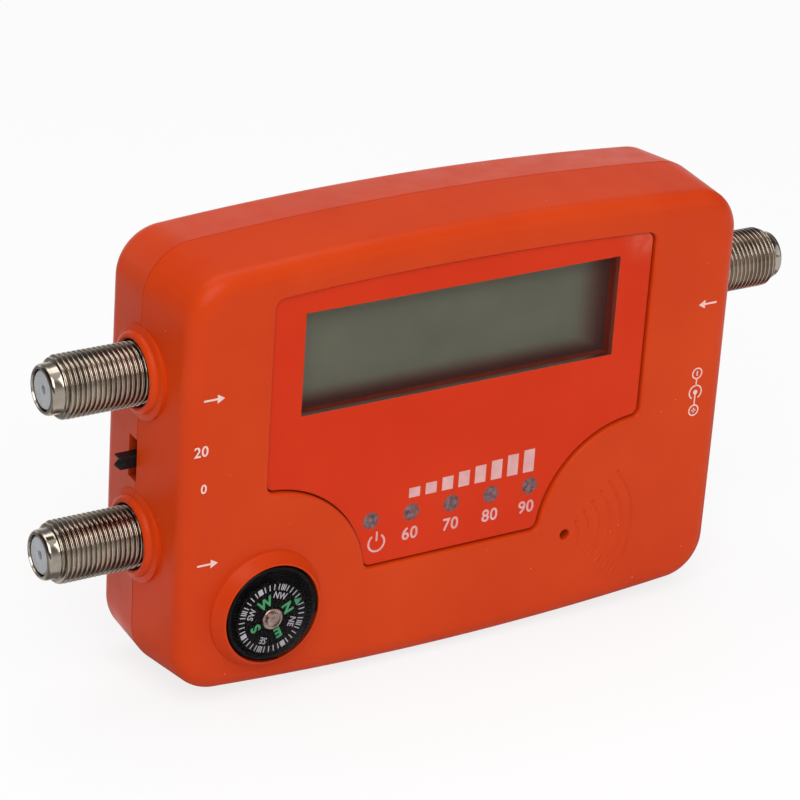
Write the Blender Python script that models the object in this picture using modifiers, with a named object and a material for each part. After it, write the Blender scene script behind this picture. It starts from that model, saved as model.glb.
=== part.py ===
"""Handheld satellite signal meter: moulded two-part case, display, compass and three F-type sockets.

Lengths are metres. The meter stands upright, +Z up, with its front facing -Y.
Inside this file x runs right, depth runs back from the case's front face and z runs up from
the case's middle. One empty carries every piece to the world origin, under the meter's middle.
"""

import math

import bmesh
import bpy
from mathutils import Matrix, Vector

# Fits shared by many pieces
seat_gap = 0.0003        # between two pieces that touch on the real meter
running_gap = 0.0003     # round a piece that moves
overrun = 0.001          # how far a cutter passes the face it opens
bite = 0.0004            # how far two joined shapes reach into each other
weld_distance = 0.000001
round_steps = 24
small_steps = 16
fine_steps = 12

# Case
case_width = 0.0986
case_height = 0.0714
case_depth = 0.0249
seam_depth = 0.0129
case_corner_radius = 0.0082
top_rise = 0.00227       # arch of the top and bottom edges
side_rise = 0.00026
front_draft = 0.0009     # each side leans in by this much towards the front
rear_draft = 0.00075
front_edge_radius = 0.0030
rear_edge_radius = 0.0032
side_wall = 0.0022
front_wall = 0.0020
rear_wall = 0.0022
inner_edge = 0.0012
lip_height = 0.0012
lip_thickness = 0.0008
arch_steps = 5
corner_steps = 5
edge_steps = 4

# Recess in the front and the clear panel that lies in it
panel_shift = -0.0012    # middle of the panel, left of the case's middle
recess_side_margin = 0.0160  # from the case's side to the recess, before that shift
recess_top_margin = 0.0063
recess_foot_margin = 0.0175
recess_depth = 0.0019
recess_corner_radius = 0.0015
shoulder_radius = 0.0177
shoulder_drop = 0.0017   # of the shoulders' centres, below the recess
panel_thickness = 0.0010
panel_gap = 0.0004
tray_wall = 0.0016
tray_floor = 0.0016
shoulder_steps = 8
fillet_steps = 3

# Display
window_left_margin = 0.0053  # from the recess's side to the part of the glass that shows
window_right_margin = 0.0062
window_top_margin = 0.00405
window_height = 0.0162
window_margin = 0.0003
collar_depth = 0.0010    # of the rim round the glass, behind the tray
collar_wall = 0.0012
glass_thickness = 0.0020
glass_margin = 0.0016    # glass hidden past the window
glass_ledge = 0.0020     # lower edge that carries the contacts
backlight_thickness = 0.0028
holder_wall = 0.0014
holder_slot_height = 0.0100

# Sockets
socket_proud = 0.0157    # how far a socket's nose stands out of the case
socket_high_share = 0.4174   # height over the case's half height
socket_low_share = -0.3165
thread_radius = 0.00475
nose_radius = 0.0038
nose_length = 0.0019
nose_edge = 0.0005
nose_cone = 0.0005
flange_radius = 0.0059
flange_thickness = 0.0016
insulator_radius = 0.0029
insulator_set_back = 0.0003
insulator_length = 0.0120
insulator_neck_radius = 0.0016
contact_radius = 0.0004
contact_mouth_radius = 0.0007
contact_tail = 0.0045
boss_radius = 0.00715
boss_rim_radius = 0.0062
boss_height = 0.0012
boss_edge = 0.0002
boss_hole_gap = 0.0003
boss_root = 0.0020
prong_width = 0.0014
prong_length = 0.0030

# Slide switch of the attenuator
switch_share = 0.014     # height over the case's half height
slot_depth = 0.0027
slot_below = 0.0032      # from the switch's middle to the slot's ends
slot_above = 0.0036
knob_depth = 0.0020
knob_height = 0.0019
knob_proud = 0.0024
knob_notch = 0.0007
knob_travel = 0.0010     # either way from the middle
knob_foot_margin = 0.0008
switch_half_height = 0.0036
switch_half_depth = 0.0026
switch_body_length = 0.0032
switch_wall = 0.0005
switch_base_thickness = 0.0008
terminal_count = 3
terminal_pitch = 0.0022
terminal_width = 0.0006
terminal_length = 0.0026

# Main board
board_edge_gap = 0.0005
board_end_gap = 0.0022
board_corner = 0.0080
board_behind_contacts = 0.0004
board_thickness = 0.0016
upper_screw_side_margin = 0.0050
upper_screw_top_margin = 0.0090
lower_screw_share = 0.64     # of the board's half width
lower_screw_margin = 0.0028
board_boss_radius = 0.0026
board_screw_radius = 0.0010
board_head_radius = 0.0019
board_head_height = 0.0012
board_screw_length = 0.0055

# Indicator LEDs
led_first_share = -0.8058    # of the recess's half width at the row's height
led_last_share = 0.7492
led_row_rise = 0.0078    # above the recess's lower edge
led_radius = 0.0010
led_flange_radius = 0.0015
led_flange_height = 0.0008
led_leg_width = 0.0004
led_leg_spread = 0.0005
led_set_back = 0.0004    # dome below the recess floor

# Buzzer
buzzer_share = 0.3986    # of the case's half width
buzzer_rise = 0.01565    # above the case's lowest line
buzzer_hole_radius = 0.00088
buzzer_radius = 0.0060
buzzer_port_radius = 0.0012
buzzer_edge = 0.0004
buzzer_dish = 0.0008
wave_count = 6
wave_first_radius = 0.00265
wave_pitch = 0.00205
wave_wire_radius = 0.0004
wave_height = 0.00015
wave_steps = 5

# Compass
compass_share = -0.6897  # of the case's half width
compass_rise = 0.0151    # above the case's lowest line
ring_base_radius = 0.0093
ring_height = 0.0023
ring_rim_width = 0.0004
ring_edge = 0.0002
ring_steps = 40
capsule_radius = 0.0075
capsule_wall = 0.0006
capsule_floor = 0.0008
capsule_rim = 0.0021     # in front of the case's front face
capsule_back_depth = 0.0035
lens_radius = 0.00725
lens_thickness = 0.0004
lens_rise = 0.0006
lens_edge = 0.0004
lens_steps = 4
card_radius = 0.0058
card_thickness = 0.0004
card_front = 0.0020      # card's face in front of the case's front face
card_drop = 0.0008       # the card hangs this far below the needle
needle_radius = 0.0002
magnet_bore = 0.0018
magnet_radius = 0.0034
magnet_thickness = 0.0010
cap_radius = 0.00135
cap_wall = 0.00025
cap_height = 0.0006      # in front of the card
cap_front_radius = 0.0011
cap_flange_radius = 0.0018
cap_flange_height = 0.0002

# Power socket
jack_share = 0.05        # height over the case's half height
jack_half_width = 0.0045
jack_height = 0.0094
jack_length = 0.0120
jack_axis_height = 0.0054    # above the board
jack_bore_radius = 0.0029
jack_bore_length = 0.0095
jack_hole_radius = 0.0036
jack_collar = 0.0012
jack_pin_radius = 0.0010
jack_pin_root_radius = 0.0014
jack_pin_set_back = 0.0010
jack_spring_thickness = 0.0003
jack_spring_width = 0.0018
jack_spring_lift = 0.0003

# Case screws
case_screw_side_inset = 0.0070
case_screw_end_inset = 0.0086
post_radius = 0.0025
screw_tube_radius = 0.0031
case_screw_radius = 0.0012
case_head_radius = 0.0021
case_head_height = 0.0018
case_well_radius = 0.0025
case_well_depth = 0.0060
case_screw_bite = 0.0060
drive_width = 0.0007
drive_length = 0.0024
drive_depth = 0.0009

# Parts on the board
tuner_side_margin = 0.0158   # from the board's edges
tuner_low_margin = 0.0190
tuner_top_margin = 0.0075
tuner_back_gap = 0.0010
tuner_sheet = 0.0005
tuner_rib_width = 0.0012
tuner_rib_height = 0.0003
tuner_rib_share = 0.57   # of the can's height
tuner_rib_pitch = 0.0140
tuner_rib_count = 3
chip_share = -0.047      # of the board's half width
chip_rise = 0.0075       # above the board's lower edge
chip_half_width = 0.0050
chip_half_height = 0.0040
chip_thickness = 0.0015
chip_lead_count = 8
chip_lead_pitch = 0.00115
chip_lead_width = 0.0004
chip_lead_reach = 0.0012
crystal_share = -0.3157
crystal_rise = 0.0070
crystal_half_length = 0.0032
crystal_radius = 0.0017
crystal_height = 0.0034
regulator_share = -0.772
regulator_rise = 0.0150
regulator_half_width = 0.0033
regulator_half_height = 0.0030
regulator_thickness = 0.0023
regulator_tab_thickness = 0.0005
regulator_tab_reach = 0.0012
capacitor_radius = 0.0025
capacitor_height = 0.0070
capacitor_share = 0.80
capacitor_rise = 0.0055
capacitor_pitch = 0.0058
capacitor_edge = 0.0004
coil_share = 0.199
coil_rise = 0.0050
coil_radius = 0.0030
coil_core_radius = 0.0020
coil_height = 0.0032
coil_flange = 0.0007


def clear_scene():
    for obj in list(bpy.data.objects):
        bpy.data.objects.remove(obj, do_unlink=True)


def collection(name, hidden=False):
    made = bpy.data.collections.new(name)
    made.hide_render = hidden
    bpy.context.scene.collection.children.link(made)
    return made


def material(name, colour, roughness, metallic=0.0, alpha=1.0):
    made = bpy.data.materials.new(name)
    made.use_nodes = True
    shader = made.node_tree.nodes["Principled BSDF"]
    shader.inputs["Base Color"].default_value = (*colour, 1.0)
    shader.inputs["Roughness"].default_value = roughness
    shader.inputs["Metallic"].default_value = metallic
    shader.inputs["Alpha"].default_value = alpha
    made.diffuse_color = (*colour, alpha)
    return made


clear_scene()
parts = collection("satellite_signal_meter")
cutters = collection("cutters", hidden=True)

lens_front = capsule_rim + seat_gap + lens_edge + lens_rise
middle = bpy.data.objects.new("front_face_middle", None)
middle.location = (0, (lens_front - case_depth) / 2, case_height / 2)
parts.objects.link(middle)


def keep(obj, finish=None):
    """Files an object as a piece of the meter, or as a cutter when it has no finish."""
    obj.parent = middle
    if finish is None:
        cutters.objects.link(obj)
        obj.hide_render = True
        obj.display_type = "WIRE"
        return obj
    parts.objects.link(obj)
    obj.data.materials.append(finish)
    obj.data.shade_smooth()
    obj.data.set_sharp_from_angle(angle=math.radians(35))
    return obj


def mesh_object(name, shape, finish=None, location=(0, 0, 0)):
    mesh = bpy.data.meshes.new(name)
    bmesh.ops.recalc_face_normals(shape, faces=shape.faces)
    shape.to_mesh(mesh)
    shape.free()
    obj = bpy.data.objects.new(name, mesh)
    obj.location = location
    return keep(obj, finish)


def block(name, first, second, finish=None):
    """A box between two corners (x, depth, z), with its origin at its centre."""
    first, second = Vector(first), Vector(second)
    size = [abs(value) for value in second - first]
    shape = bmesh.new()
    bmesh.ops.create_cube(shape, size=1, matrix=Matrix.Diagonal((*size, 1)))
    return mesh_object(name, shape, finish, (first + second) / 2)


def blocks(name, pairs):
    """Several boxes in one cutter or joiner."""
    shape = bmesh.new()
    for first, second in pairs:
        first, second = Vector(first), Vector(second)
        size = Matrix.Diagonal((*[abs(value) for value in second - first], 1))
        bmesh.ops.create_cube(shape, size=1, matrix=Matrix.Translation((first + second) / 2) @ size)
    return mesh_object(name, shape)


towards = {
    "front": (math.pi / 2, 0, 0),
    "back": (-math.pi / 2, 0, 0),
    "right": (0, math.pi / 2, 0),
    "left": (0, -math.pi / 2, 0),
}


def turned(name, profile, place, way, finish=None, steps=round_steps, start=0):
    """A solid of revolution. The profile lists (radius, height along the way it points), from
    the top down its outer side. One that starts off the axis is closed into a ring. The start
    is the angle of the first seam."""
    mesh = bpy.data.meshes.new(name)
    shape = bmesh.new()
    turn_x, turn_y = math.cos(start), math.sin(start)
    points = [shape.verts.new((r * turn_x, r * turn_y, height)) for r, height in profile]
    for first, second in zip(points, points[1:]):
        shape.edges.new((first, second))
    if profile[0][0] > 0:
        shape.edges.new((points[-1], points[0]))
    shape.to_mesh(mesh)
    shape.free()
    obj = bpy.data.objects.new(name, mesh)
    obj.location = place
    obj.rotation_euler = towards[way]
    turn = obj.modifiers.new("turn", "SCREW")
    turn.steps = turn.render_steps = steps
    turn.use_merge_vertices = True
    turn.merge_threshold = weld_distance
    return keep(obj, finish)


def drum(name, radius, place, way, length, steps=round_steps):
    """A plain cylinder from a place, along the way it points. Its seams lie between those of
    the turned shapes, so that none of its corners falls on an edge of theirs."""
    profile = [(0, length), (radius, length), (radius, 0), (0, 0)]
    return turned(name, profile, place, way, steps=steps, start=math.pi / steps)


def plate(name, outlines, near, far, finish=None):
    """A flat plate between two depths, from outlines in x and z. Inner outlines are holes."""
    curve = bpy.data.curves.new(name, "CURVE")
    curve.dimensions = "2D"
    curve.fill_mode = "BOTH"
    curve.extrude = (far - near) / 2
    for outline in outlines:
        spline = curve.splines.new("POLY")
        spline.points.add(len(outline) - 1)
        for point, (x, z) in zip(spline.points, outline):
            point.co = (x, z, 0, 1)
        spline.use_cyclic_u = True
    drawn = bpy.data.objects.new(name + "_outline", curve)
    drawn.location = (0, (near + far) / 2, 0)
    drawn.rotation_euler = (math.pi / 2, 0, 0)
    return from_curve(name, drawn, finish)


def wire(name, path, radius, finish=None):
    """A round wire along a path of (x, depth, z) points."""
    curve = bpy.data.curves.new(name, "CURVE")
    curve.dimensions = "3D"
    curve.bevel_depth = radius
    curve.bevel_resolution = 1
    curve.use_fill_caps = True
    spline = curve.splines.new("POLY")
    spline.points.add(len(path) - 1)
    for point, place in zip(spline.points, path):
        point.co = (*place, 1)
    return from_curve(name, bpy.data.objects.new(name + "_path", curve), finish)


def from_curve(name, drawn, finish=None):
    """Makes a closed mesh of a curve object and removes the curve."""
    parts.objects.link(drawn)
    bpy.context.view_layer.update()
    graph = bpy.context.evaluated_depsgraph_get()
    mesh = bpy.data.meshes.new_from_object(drawn.evaluated_get(graph))
    shape = bmesh.new()
    shape.from_mesh(mesh)
    bmesh.ops.remove_doubles(shape, verts=shape.verts, dist=weld_distance)
    bmesh.ops.recalc_face_normals(shape, faces=shape.faces)
    shape.to_mesh(mesh)
    shape.free()
    mesh.materials.clear()
    obj = bpy.data.objects.new(name, mesh)
    obj.matrix_world = drawn.matrix_world.copy()
    data = drawn.data
    bpy.data.objects.remove(drawn, do_unlink=True)
    bpy.data.curves.remove(data)
    return keep(obj, finish)


def loft(name, rings, finish=None):
    """A solid between rings of equal count, closed flat at both ends."""
    shape = bmesh.new()
    loops = [[shape.verts.new(point) for point in ring] for ring in rings]
    for near, far in zip(loops, loops[1:]):
        for i in range(len(near)):
            j = (i + 1) % len(near)
            shape.faces.new((near[i], near[j], far[j], far[i]))
    shape.faces.new(loops[0])
    shape.faces.new(loops[-1])
    return mesh_object(name, shape, finish)


def combine(obj, others, how):
    for other in others:
        step = obj.modifiers.new(how.lower(), "BOOLEAN")
        step.operation = how
        step.object = other
        step.solver = "EXACT"
    return obj


def cut(obj, *others):
    return combine(obj, others, "DIFFERENCE")


def join(obj, *others):
    return combine(obj, others, "UNION")


def trim(obj, *others):
    return combine(obj, others, "INTERSECT")


def arc(centre, radius, start, end, steps):
    """Points (x, z) on an arc, both ends included."""
    points = []
    for i in range(steps + 1):
        angle = start + (end - start) * i / steps
        points.append((centre[0] + radius * math.cos(angle), centre[1] + radius * math.sin(angle)))
    return points


def circle(centre, radius, steps=small_steps):
    half = math.pi / steps
    return arc(centre, radius, half, half + 2 * math.pi, steps)[:-1]


def angle_from(centre, point):
    return math.atan2(point[1] - centre[1], point[0] - centre[0])


def both_ways(x, z):
    """The four places (x, z) that mirror each other about the case's middle."""
    return [(sx * x, sz * z) for sx in (-1, 1) for sz in (-1, 1)]


def mirrored(quarter):
    """A whole outline from its quarter, which runs from the top middle to the right middle."""
    lower = [(x, -z) for x, z in reversed(quarter[:-1])]
    right = quarter + lower
    left = [(-x, z) for x, z in reversed(right[1:-1])]
    return right + left


def arch_radius(span, rise):
    return ((span / 2) ** 2 + rise ** 2) / (2 * rise)


def case_outline(inset):
    """The case's outline at its seam, moved inward: an arched rectangle with round corners."""
    top_radius = arch_radius(case_width, top_rise)
    side_radius = arch_radius(case_height, side_rise)
    top_centre = Vector((0, case_height / 2 - top_radius))
    side_centre = Vector((case_width / 2 - side_radius, 0))
    near = top_radius - case_corner_radius
    far = side_radius - case_corner_radius
    apart = side_centre - top_centre
    along = (near ** 2 - far ** 2 + apart.length ** 2) / (2 * apart.length)
    aside = math.sqrt(near ** 2 - along ** 2)
    unit = apart.normalized()
    corner_centre = top_centre + unit * along + Vector((unit.y, -unit.x)) * aside
    top_end = angle_from(top_centre, corner_centre)
    side_start = angle_from(side_centre, corner_centre)
    quarter = arc(top_centre, top_radius - inset, math.pi / 2, top_end, arch_steps)
    quarter += arc(corner_centre, case_corner_radius - inset, top_end, side_start, corner_steps)[1:]
    quarter += arc(side_centre, side_radius - inset, side_start, 0, 2)[1:]
    return mirrored(quarter)


def case_ring(inset, depth):
    return [(x, depth, z) for x, z in case_outline(inset)]


def front_lean(depth):
    return front_draft * (seam_depth - depth) / (seam_depth - front_edge_radius)


def rear_lean(depth):
    return rear_draft * (depth - seam_depth) / (case_depth - rear_edge_radius - seam_depth)


def side_face(near, far, reach):
    """How far out a flat piece may stand behind a side wall, when it spans these depths and
    reaches this far up or down from the case's middle."""
    side_radius = arch_radius(case_height, side_rise)
    fall = side_radius - math.sqrt(side_radius ** 2 - reach ** 2)
    lean = max(0, front_lean(near), rear_lean(far))
    return case_width / 2 - side_wall - fall - lean - seat_gap


def rounded_edge(radius):
    """(how far in, how deep) along a quarter round, from the face to the side."""
    for i in range(edge_steps + 1):
        angle = math.pi / 2 * i / edge_steps
        yield radius * (1 - math.sin(angle)), radius * (1 - math.cos(angle))


def front_block(name, finish=None):
    """Outside of the front half."""
    edge = rounded_edge(front_edge_radius)
    rings = [case_ring(front_draft + inward, depth) for inward, depth in edge]
    rings.append(case_ring(0, seam_depth - seat_gap / 2))
    return loft(name, rings, finish)


def rear_block(name, finish=None):
    """Outside of the rear half."""
    edge = rounded_edge(rear_edge_radius)
    rings = [case_ring(rear_draft + inward, case_depth - depth) for inward, depth in edge]
    rings.append(case_ring(0, seam_depth + seat_gap / 2))
    return loft(name, rings, finish)


def front_hollow():
    shoulder = front_wall + inner_edge
    rings = [
        case_ring(front_draft + side_wall + inner_edge, front_wall),
        case_ring(front_lean(shoulder) + side_wall, shoulder),
        case_ring(side_wall, seam_depth),
        case_ring(side_wall, seam_depth + overrun),
    ]
    return loft("front_hollow", rings)


def rear_hollow():
    shoulder = rear_floor() - inner_edge
    rings = [
        case_ring(rear_draft + side_wall + inner_edge, rear_floor()),
        case_ring(rear_lean(shoulder) + side_wall, shoulder),
        case_ring(side_wall, seam_depth),
        case_ring(side_wall, seam_depth - lip_height - overrun),
    ]
    return loft("rear_hollow", rings)


def rear_floor():
    return case_depth - rear_wall


def tray_back():
    return recess_depth + tray_floor


def recess_half_width():
    return case_width / 2 - recess_side_margin


def recess_top():
    return case_height / 2 - recess_top_margin


def recess_bottom():
    return recess_foot_margin - case_height / 2


def shoulder_height():
    return recess_bottom() - shoulder_drop


def window_outline(grow):
    """The recess in the front, grown outward: arched on top, with two round shoulders that
    leave room for the compass and the buzzer."""
    side = recess_half_width()
    level = shoulder_height()
    corner = recess_corner_radius + grow
    shoulder = shoulder_radius - grow
    top_radius = arch_radius(case_width, top_rise)
    top_centre = (0, recess_top() - top_radius)
    corner_x = side - recess_corner_radius
    upper_reach = top_radius - recess_corner_radius
    upper = (corner_x, top_centre[1] + math.sqrt(upper_reach ** 2 - corner_x ** 2))
    pivot = (side, level)
    apart = shoulder_radius + recess_corner_radius
    lower = (corner_x, level + math.sqrt(apart ** 2 - recess_corner_radius ** 2))
    foot_z = recess_bottom() + recess_corner_radius
    foot = (side - math.sqrt(apart ** 2 - (foot_z - level) ** 2), foot_z)
    half = arc(top_centre, top_radius + grow, math.pi / 2, angle_from(top_centre, upper), arch_steps)
    half += arc(upper, corner, angle_from(top_centre, upper), 0, fillet_steps)[1:]
    half += arc(lower, corner, 0, angle_from(lower, pivot), fillet_steps)
    half += arc(pivot, shoulder, angle_from(pivot, lower), angle_from(pivot, foot), shoulder_steps)[1:]
    half += arc(foot, corner, angle_from(foot, pivot), -math.pi / 2, fillet_steps)[1:]
    left = [(-x, z) for x, z in reversed(half[1:])]
    return [(x + panel_shift, z) for x, z in half + left]


def socket_places():
    """Each F-type socket: its name, the way it points, its sign along x and its height."""
    high = socket_high_share * case_height / 2
    low = socket_low_share * case_height / 2
    return [("satellite", "left", -1, high), ("antenna", "left", -1, low), ("receiver", "right", 1, high)]


def socket_inner_end(z):
    """Where a socket's flange ends inside the case, along x."""
    near, far = seam_depth - flange_radius, seam_depth + flange_radius
    return side_face(near, far, abs(z) + flange_radius) - flange_thickness


def socket_bosses(half):
    """The round bosses about the sockets' holes, as far as they belong to one half."""
    profile = [
        (0, boss_height),
        (boss_rim_radius - boss_edge, boss_height),
        (boss_rim_radius, boss_height - boss_edge),
        (boss_radius, 0),
        (boss_radius, -boss_root),
        (0, -boss_root),
    ]
    reach = boss_radius + overrun
    sides = {
        "front": (seam_depth - reach, seam_depth - seat_gap / 2),
        "rear": (seam_depth + seat_gap / 2, seam_depth + reach),
    }
    near, far = sides[half]
    made = []
    for name, way, sign, z in socket_places():
        boss = turned(f"{name}_{half}_boss", profile, (sign * case_width / 2, seam_depth, z), way)
        inner = sign * (case_width / 2 - boss_root - overrun)
        outer = sign * (case_width / 2 + boss_height + overrun)
        half_space = block(f"{name}_{half}_side", (inner, near, z - reach), (outer, far, z + reach))
        made.append(trim(boss, half_space))
    return made


def socket_holes(half):
    """Cylinders that open the side walls for the sockets."""
    start = case_width / 2 - boss_root - side_wall
    length = side_wall + boss_root + boss_height + overrun
    radius = thread_radius + boss_hole_gap
    return [
        drum(f"{name}_{half}_hole", radius, (sign * start, seam_depth, z), way, length)
        for name, way, sign, z in socket_places()
    ]


def case_screw_places():
    x = case_width / 2 - case_screw_side_inset
    z = case_height / 2 - case_screw_end_inset
    return both_ways(x, z)


def compass_place():
    return compass_share * case_width / 2, compass_rise - case_height / 2


def buzzer_place():
    return buzzer_share * case_width / 2, buzzer_rise - case_height / 2


def compass_ring():
    """The raised ring that holds the compass, like a low cone about its bore."""
    x, z = compass_place()
    rim = capsule_radius + seat_gap + ring_rim_width
    profile = [
        (0, ring_height),
        (rim - ring_edge, ring_height),
        (rim, ring_height - ring_edge),
        (ring_base_radius, ring_edge),
        (ring_base_radius, bite - front_wall),
        (0, bite - front_wall),
    ]
    return turned("compass_ring", profile, (x, 0, z), "front", steps=ring_steps)


def sound_waves():
    """Raised arcs that spread from the buzzer's hole."""
    sunk = wave_wire_radius - wave_height
    made = []
    for i in range(wave_count):
        radius = wave_first_radius + i * wave_pitch
        points = arc(buzzer_place(), radius, math.pi / 4, -math.pi / 4, wave_steps)
        made.append(wire(f"wave_{i + 1}", [(x, sunk, z) for x, z in points], wave_wire_radius))
    return made


def led_height():
    return recess_bottom() + led_row_rise


def led_places():
    """Each LED's name and x, spread over the recess's width at the height of the row."""
    names = ("power_led", "level_60_led", "level_70_led", "level_80_led", "level_90_led")
    rise = led_height() - shoulder_height()
    reach = recess_half_width() - math.sqrt(shoulder_radius ** 2 - rise ** 2)
    first = panel_shift + led_first_share * reach
    last = panel_shift + led_last_share * reach
    return [(name, first + (last - first) * i / (len(names) - 1)) for i, name in enumerate(names)]


def display_span(grow, sill=0):
    """Left, bottom, right and top of the part of the display that shows, grown outward. The
    sill is added below."""
    top = recess_top() - window_top_margin
    return (
        panel_shift - recess_half_width() + window_left_margin - grow,
        top - window_height - grow - sill,
        panel_shift + recess_half_width() - window_right_margin + grow,
        top + grow,
    )


def front_shell(finish):
    """Front half of the case, with the recess, the display's opening and the compass's ring."""
    shell = front_block("front_shell", finish)
    cut(shell, front_hollow())
    join(shell, *socket_bosses("front"))
    cut(shell, rebate(), *socket_holes("front"), jack_hole())
    tray = plate("tray", [window_outline(tray_wall)], front_wall - bite, tray_back())
    join(shell, tray, glass_collar(), compass_ring(), *sound_waves())
    for i, (x, z) in enumerate(case_screw_places()):
        start = front_wall - bite
        length = seam_depth - seat_gap / 2 - start
        join(shell, drum(f"post_{i}", post_radius, (x, start, z), "back", length, small_steps))
    cut(shell, plate("recess", [window_outline(0)], -overrun, recess_depth))
    left, bottom, right, top = display_span(window_margin)
    near, far = recess_depth - overrun, tray_back() + overrun
    cut(shell, block("window_opening", (left, near, bottom), (right, far, top)))
    for name, x in led_places():
        hole = circle((x, led_height()), led_radius + running_gap)
        cut(shell, plate(f"{name}_hole", [hole], near, far))
    hole = circle(buzzer_place(), buzzer_hole_radius)
    cut(shell, plate("buzzer_hole", [hole], -overrun, front_wall + overrun))
    bore = circle(compass_place(), capsule_radius + seat_gap, ring_steps)
    cut(shell, plate("compass_bore", [bore], -ring_height - overrun, front_wall + overrun))
    pilot = case_screw_radius + seat_gap
    for i, (x, z) in enumerate(case_screw_places()):
        start = seam_depth - case_screw_bite - seat_gap
        length = case_screw_bite + overrun
        cut(shell, drum(f"pilot_{i}", pilot, (x, start, z), "back", length, fine_steps))
    return shell


def glass_collar():
    """Rim behind the tray, round the display glass."""
    left, bottom, right, top = glass_span()
    near, far = tray_back() - bite, tray_back() + collar_depth
    reach = seat_gap + collar_wall
    collar = block("collar", (left - reach, near, bottom - reach), (right + reach, far, top + reach))
    pocket = block(
        "collar_pocket",
        (left - seat_gap, near - overrun, bottom - seat_gap),
        (right + seat_gap, far + overrun, top + seat_gap),
    )
    return cut(collar, pocket)


def rebate():
    """Cutter for the step inside the front half's rim, which takes the rear half's lip."""
    near, far = seam_depth - lip_height - seat_gap, seam_depth + overrun
    outer = side_wall - lip_thickness - seat_gap
    inner = side_wall + bite
    ring = loft("rebate", [case_ring(outer, near), case_ring(outer, far)])
    core = loft("rebate_core", [case_ring(inner, near - overrun), case_ring(inner, far + overrun)])
    return cut(ring, core)


def rear_shell(finish):
    """Rear half of the case, with the lip, the screw tubes, the board's bosses and the slot."""
    shell = rear_block("rear_shell", finish)
    lip_inset = side_wall - lip_thickness
    lip = loft(
        "lip",
        [
            case_ring(lip_inset, seam_depth - lip_height),
            case_ring(lip_inset, seam_depth + seat_gap / 2 + bite),
        ],
    )
    join(shell, lip)
    cut(shell, rear_hollow())
    join(shell, *socket_bosses("rear"))
    for i, (x, z) in enumerate(case_screw_places()):
        start = seam_depth + seat_gap / 2
        length = rear_floor() + bite - start
        join(shell, drum(f"tube_{i}", screw_tube_radius, (x, start, z), "back", length, small_steps))
    for i, (x, z) in enumerate(board_screw_places()):
        start = board_back() + seat_gap
        length = rear_floor() + bite - start
        join(shell, drum(f"boss_{i}", board_boss_radius, (x, start, z), "back", length, small_steps))
    cut(shell, *socket_holes("rear"), switch_slot())
    well_floor = case_depth - seam_depth - case_well_depth
    top = case_depth - seam_depth + overrun
    shank = case_screw_radius + seat_gap
    profile = [
        (0, top),
        (case_well_radius, top),
        (case_well_radius, well_floor),
        (shank, well_floor),
        (shank, -overrun),
        (0, -overrun),
    ]
    for i, (x, z) in enumerate(case_screw_places()):
        cut(shell, turned(f"screw_well_{i}", profile, (x, seam_depth, z), "back", steps=small_steps))
    pilot = board_screw_radius + seat_gap
    for i, (x, z) in enumerate(board_screw_places()):
        place = (x, board_back(), z)
        cut(shell, drum(f"board_pilot_{i}", pilot, place, "back", board_screw_length, fine_steps))
    return shell


def window_panel(finish):
    """Clear printed panel that lies in the recess."""
    back = recess_depth - seat_gap
    return plate("window_panel", [window_outline(-panel_gap)], back - panel_thickness, back, finish)


def board_front():
    return seam_depth + contact_radius + board_behind_contacts


def board_back():
    return board_front() + board_thickness


def part_seat():
    """Depth of the back of every part that stands on the board's front."""
    return board_front() - seat_gap


def switch_depths():
    """Near and far side of the switch's can, and the middle of its knob."""
    centre = seam_depth + slot_depth / 2
    return centre - switch_half_depth, centre + switch_half_depth, centre


def switch_height():
    return switch_share * case_height / 2


def switch_outer():
    near, far, centre = switch_depths()
    return side_face(near, far, abs(switch_height()) + switch_half_height)


def board_half_width():
    """The board ends inside the switch and the sockets."""
    switch_end = switch_outer() - switch_body_length
    ends = [socket_inner_end(z) for name, way, sign, z in socket_places()]
    return min(switch_end, *ends) - board_edge_gap


def board_half_height():
    return case_height / 2 - top_rise - side_wall - board_end_gap


def board_place(share, rise):
    """A place on the board, from a share of its half width and a rise above its lower edge."""
    return share * board_half_width(), rise - board_half_height()


def board_screw_places():
    """Two screws near the upper corners and two near the lower edge."""
    high_x = board_half_width() - upper_screw_side_margin
    high_z = board_half_height() - upper_screw_top_margin
    low_x, low_z = board_place(lower_screw_share, lower_screw_margin)
    return [(sign * x, z) for x, z in ((high_x, high_z), (low_x, low_z)) for sign in (-1, 1)]


def main_board(finish):
    """Circuit board with clipped corners and screw holes."""
    x, z, c = board_half_width(), board_half_height(), board_corner
    outline = mirrored([(0, z), (x - c, z), (x, z - c), (x, 0)])
    hole = board_screw_radius + seat_gap
    holes = [circle(place, hole, fine_steps) for place in board_screw_places()]
    return plate("main_board", [outline, *holes], board_front(), board_back(), finish)


def screw(name, place, way, head, shank, finish, steps):
    """A flat-headed screw, its place under the head. Head and shank are (radius, length)."""
    profile = [
        (0, head[1]),
        (head[0], head[1]),
        (head[0], 0),
        (shank[0], 0),
        (shank[0], -shank[1]),
        (0, -shank[1]),
    ]
    return turned(name, profile, place, way, finish, steps)


def board_screws(finish):
    for i, (x, z) in enumerate(board_screw_places()):
        head = (board_head_radius, board_head_height)
        shank = (board_screw_radius, board_screw_length)
        screw(f"board_screw_{i + 1}", (x, part_seat(), z), "front", head, shank, finish, fine_steps)


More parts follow.
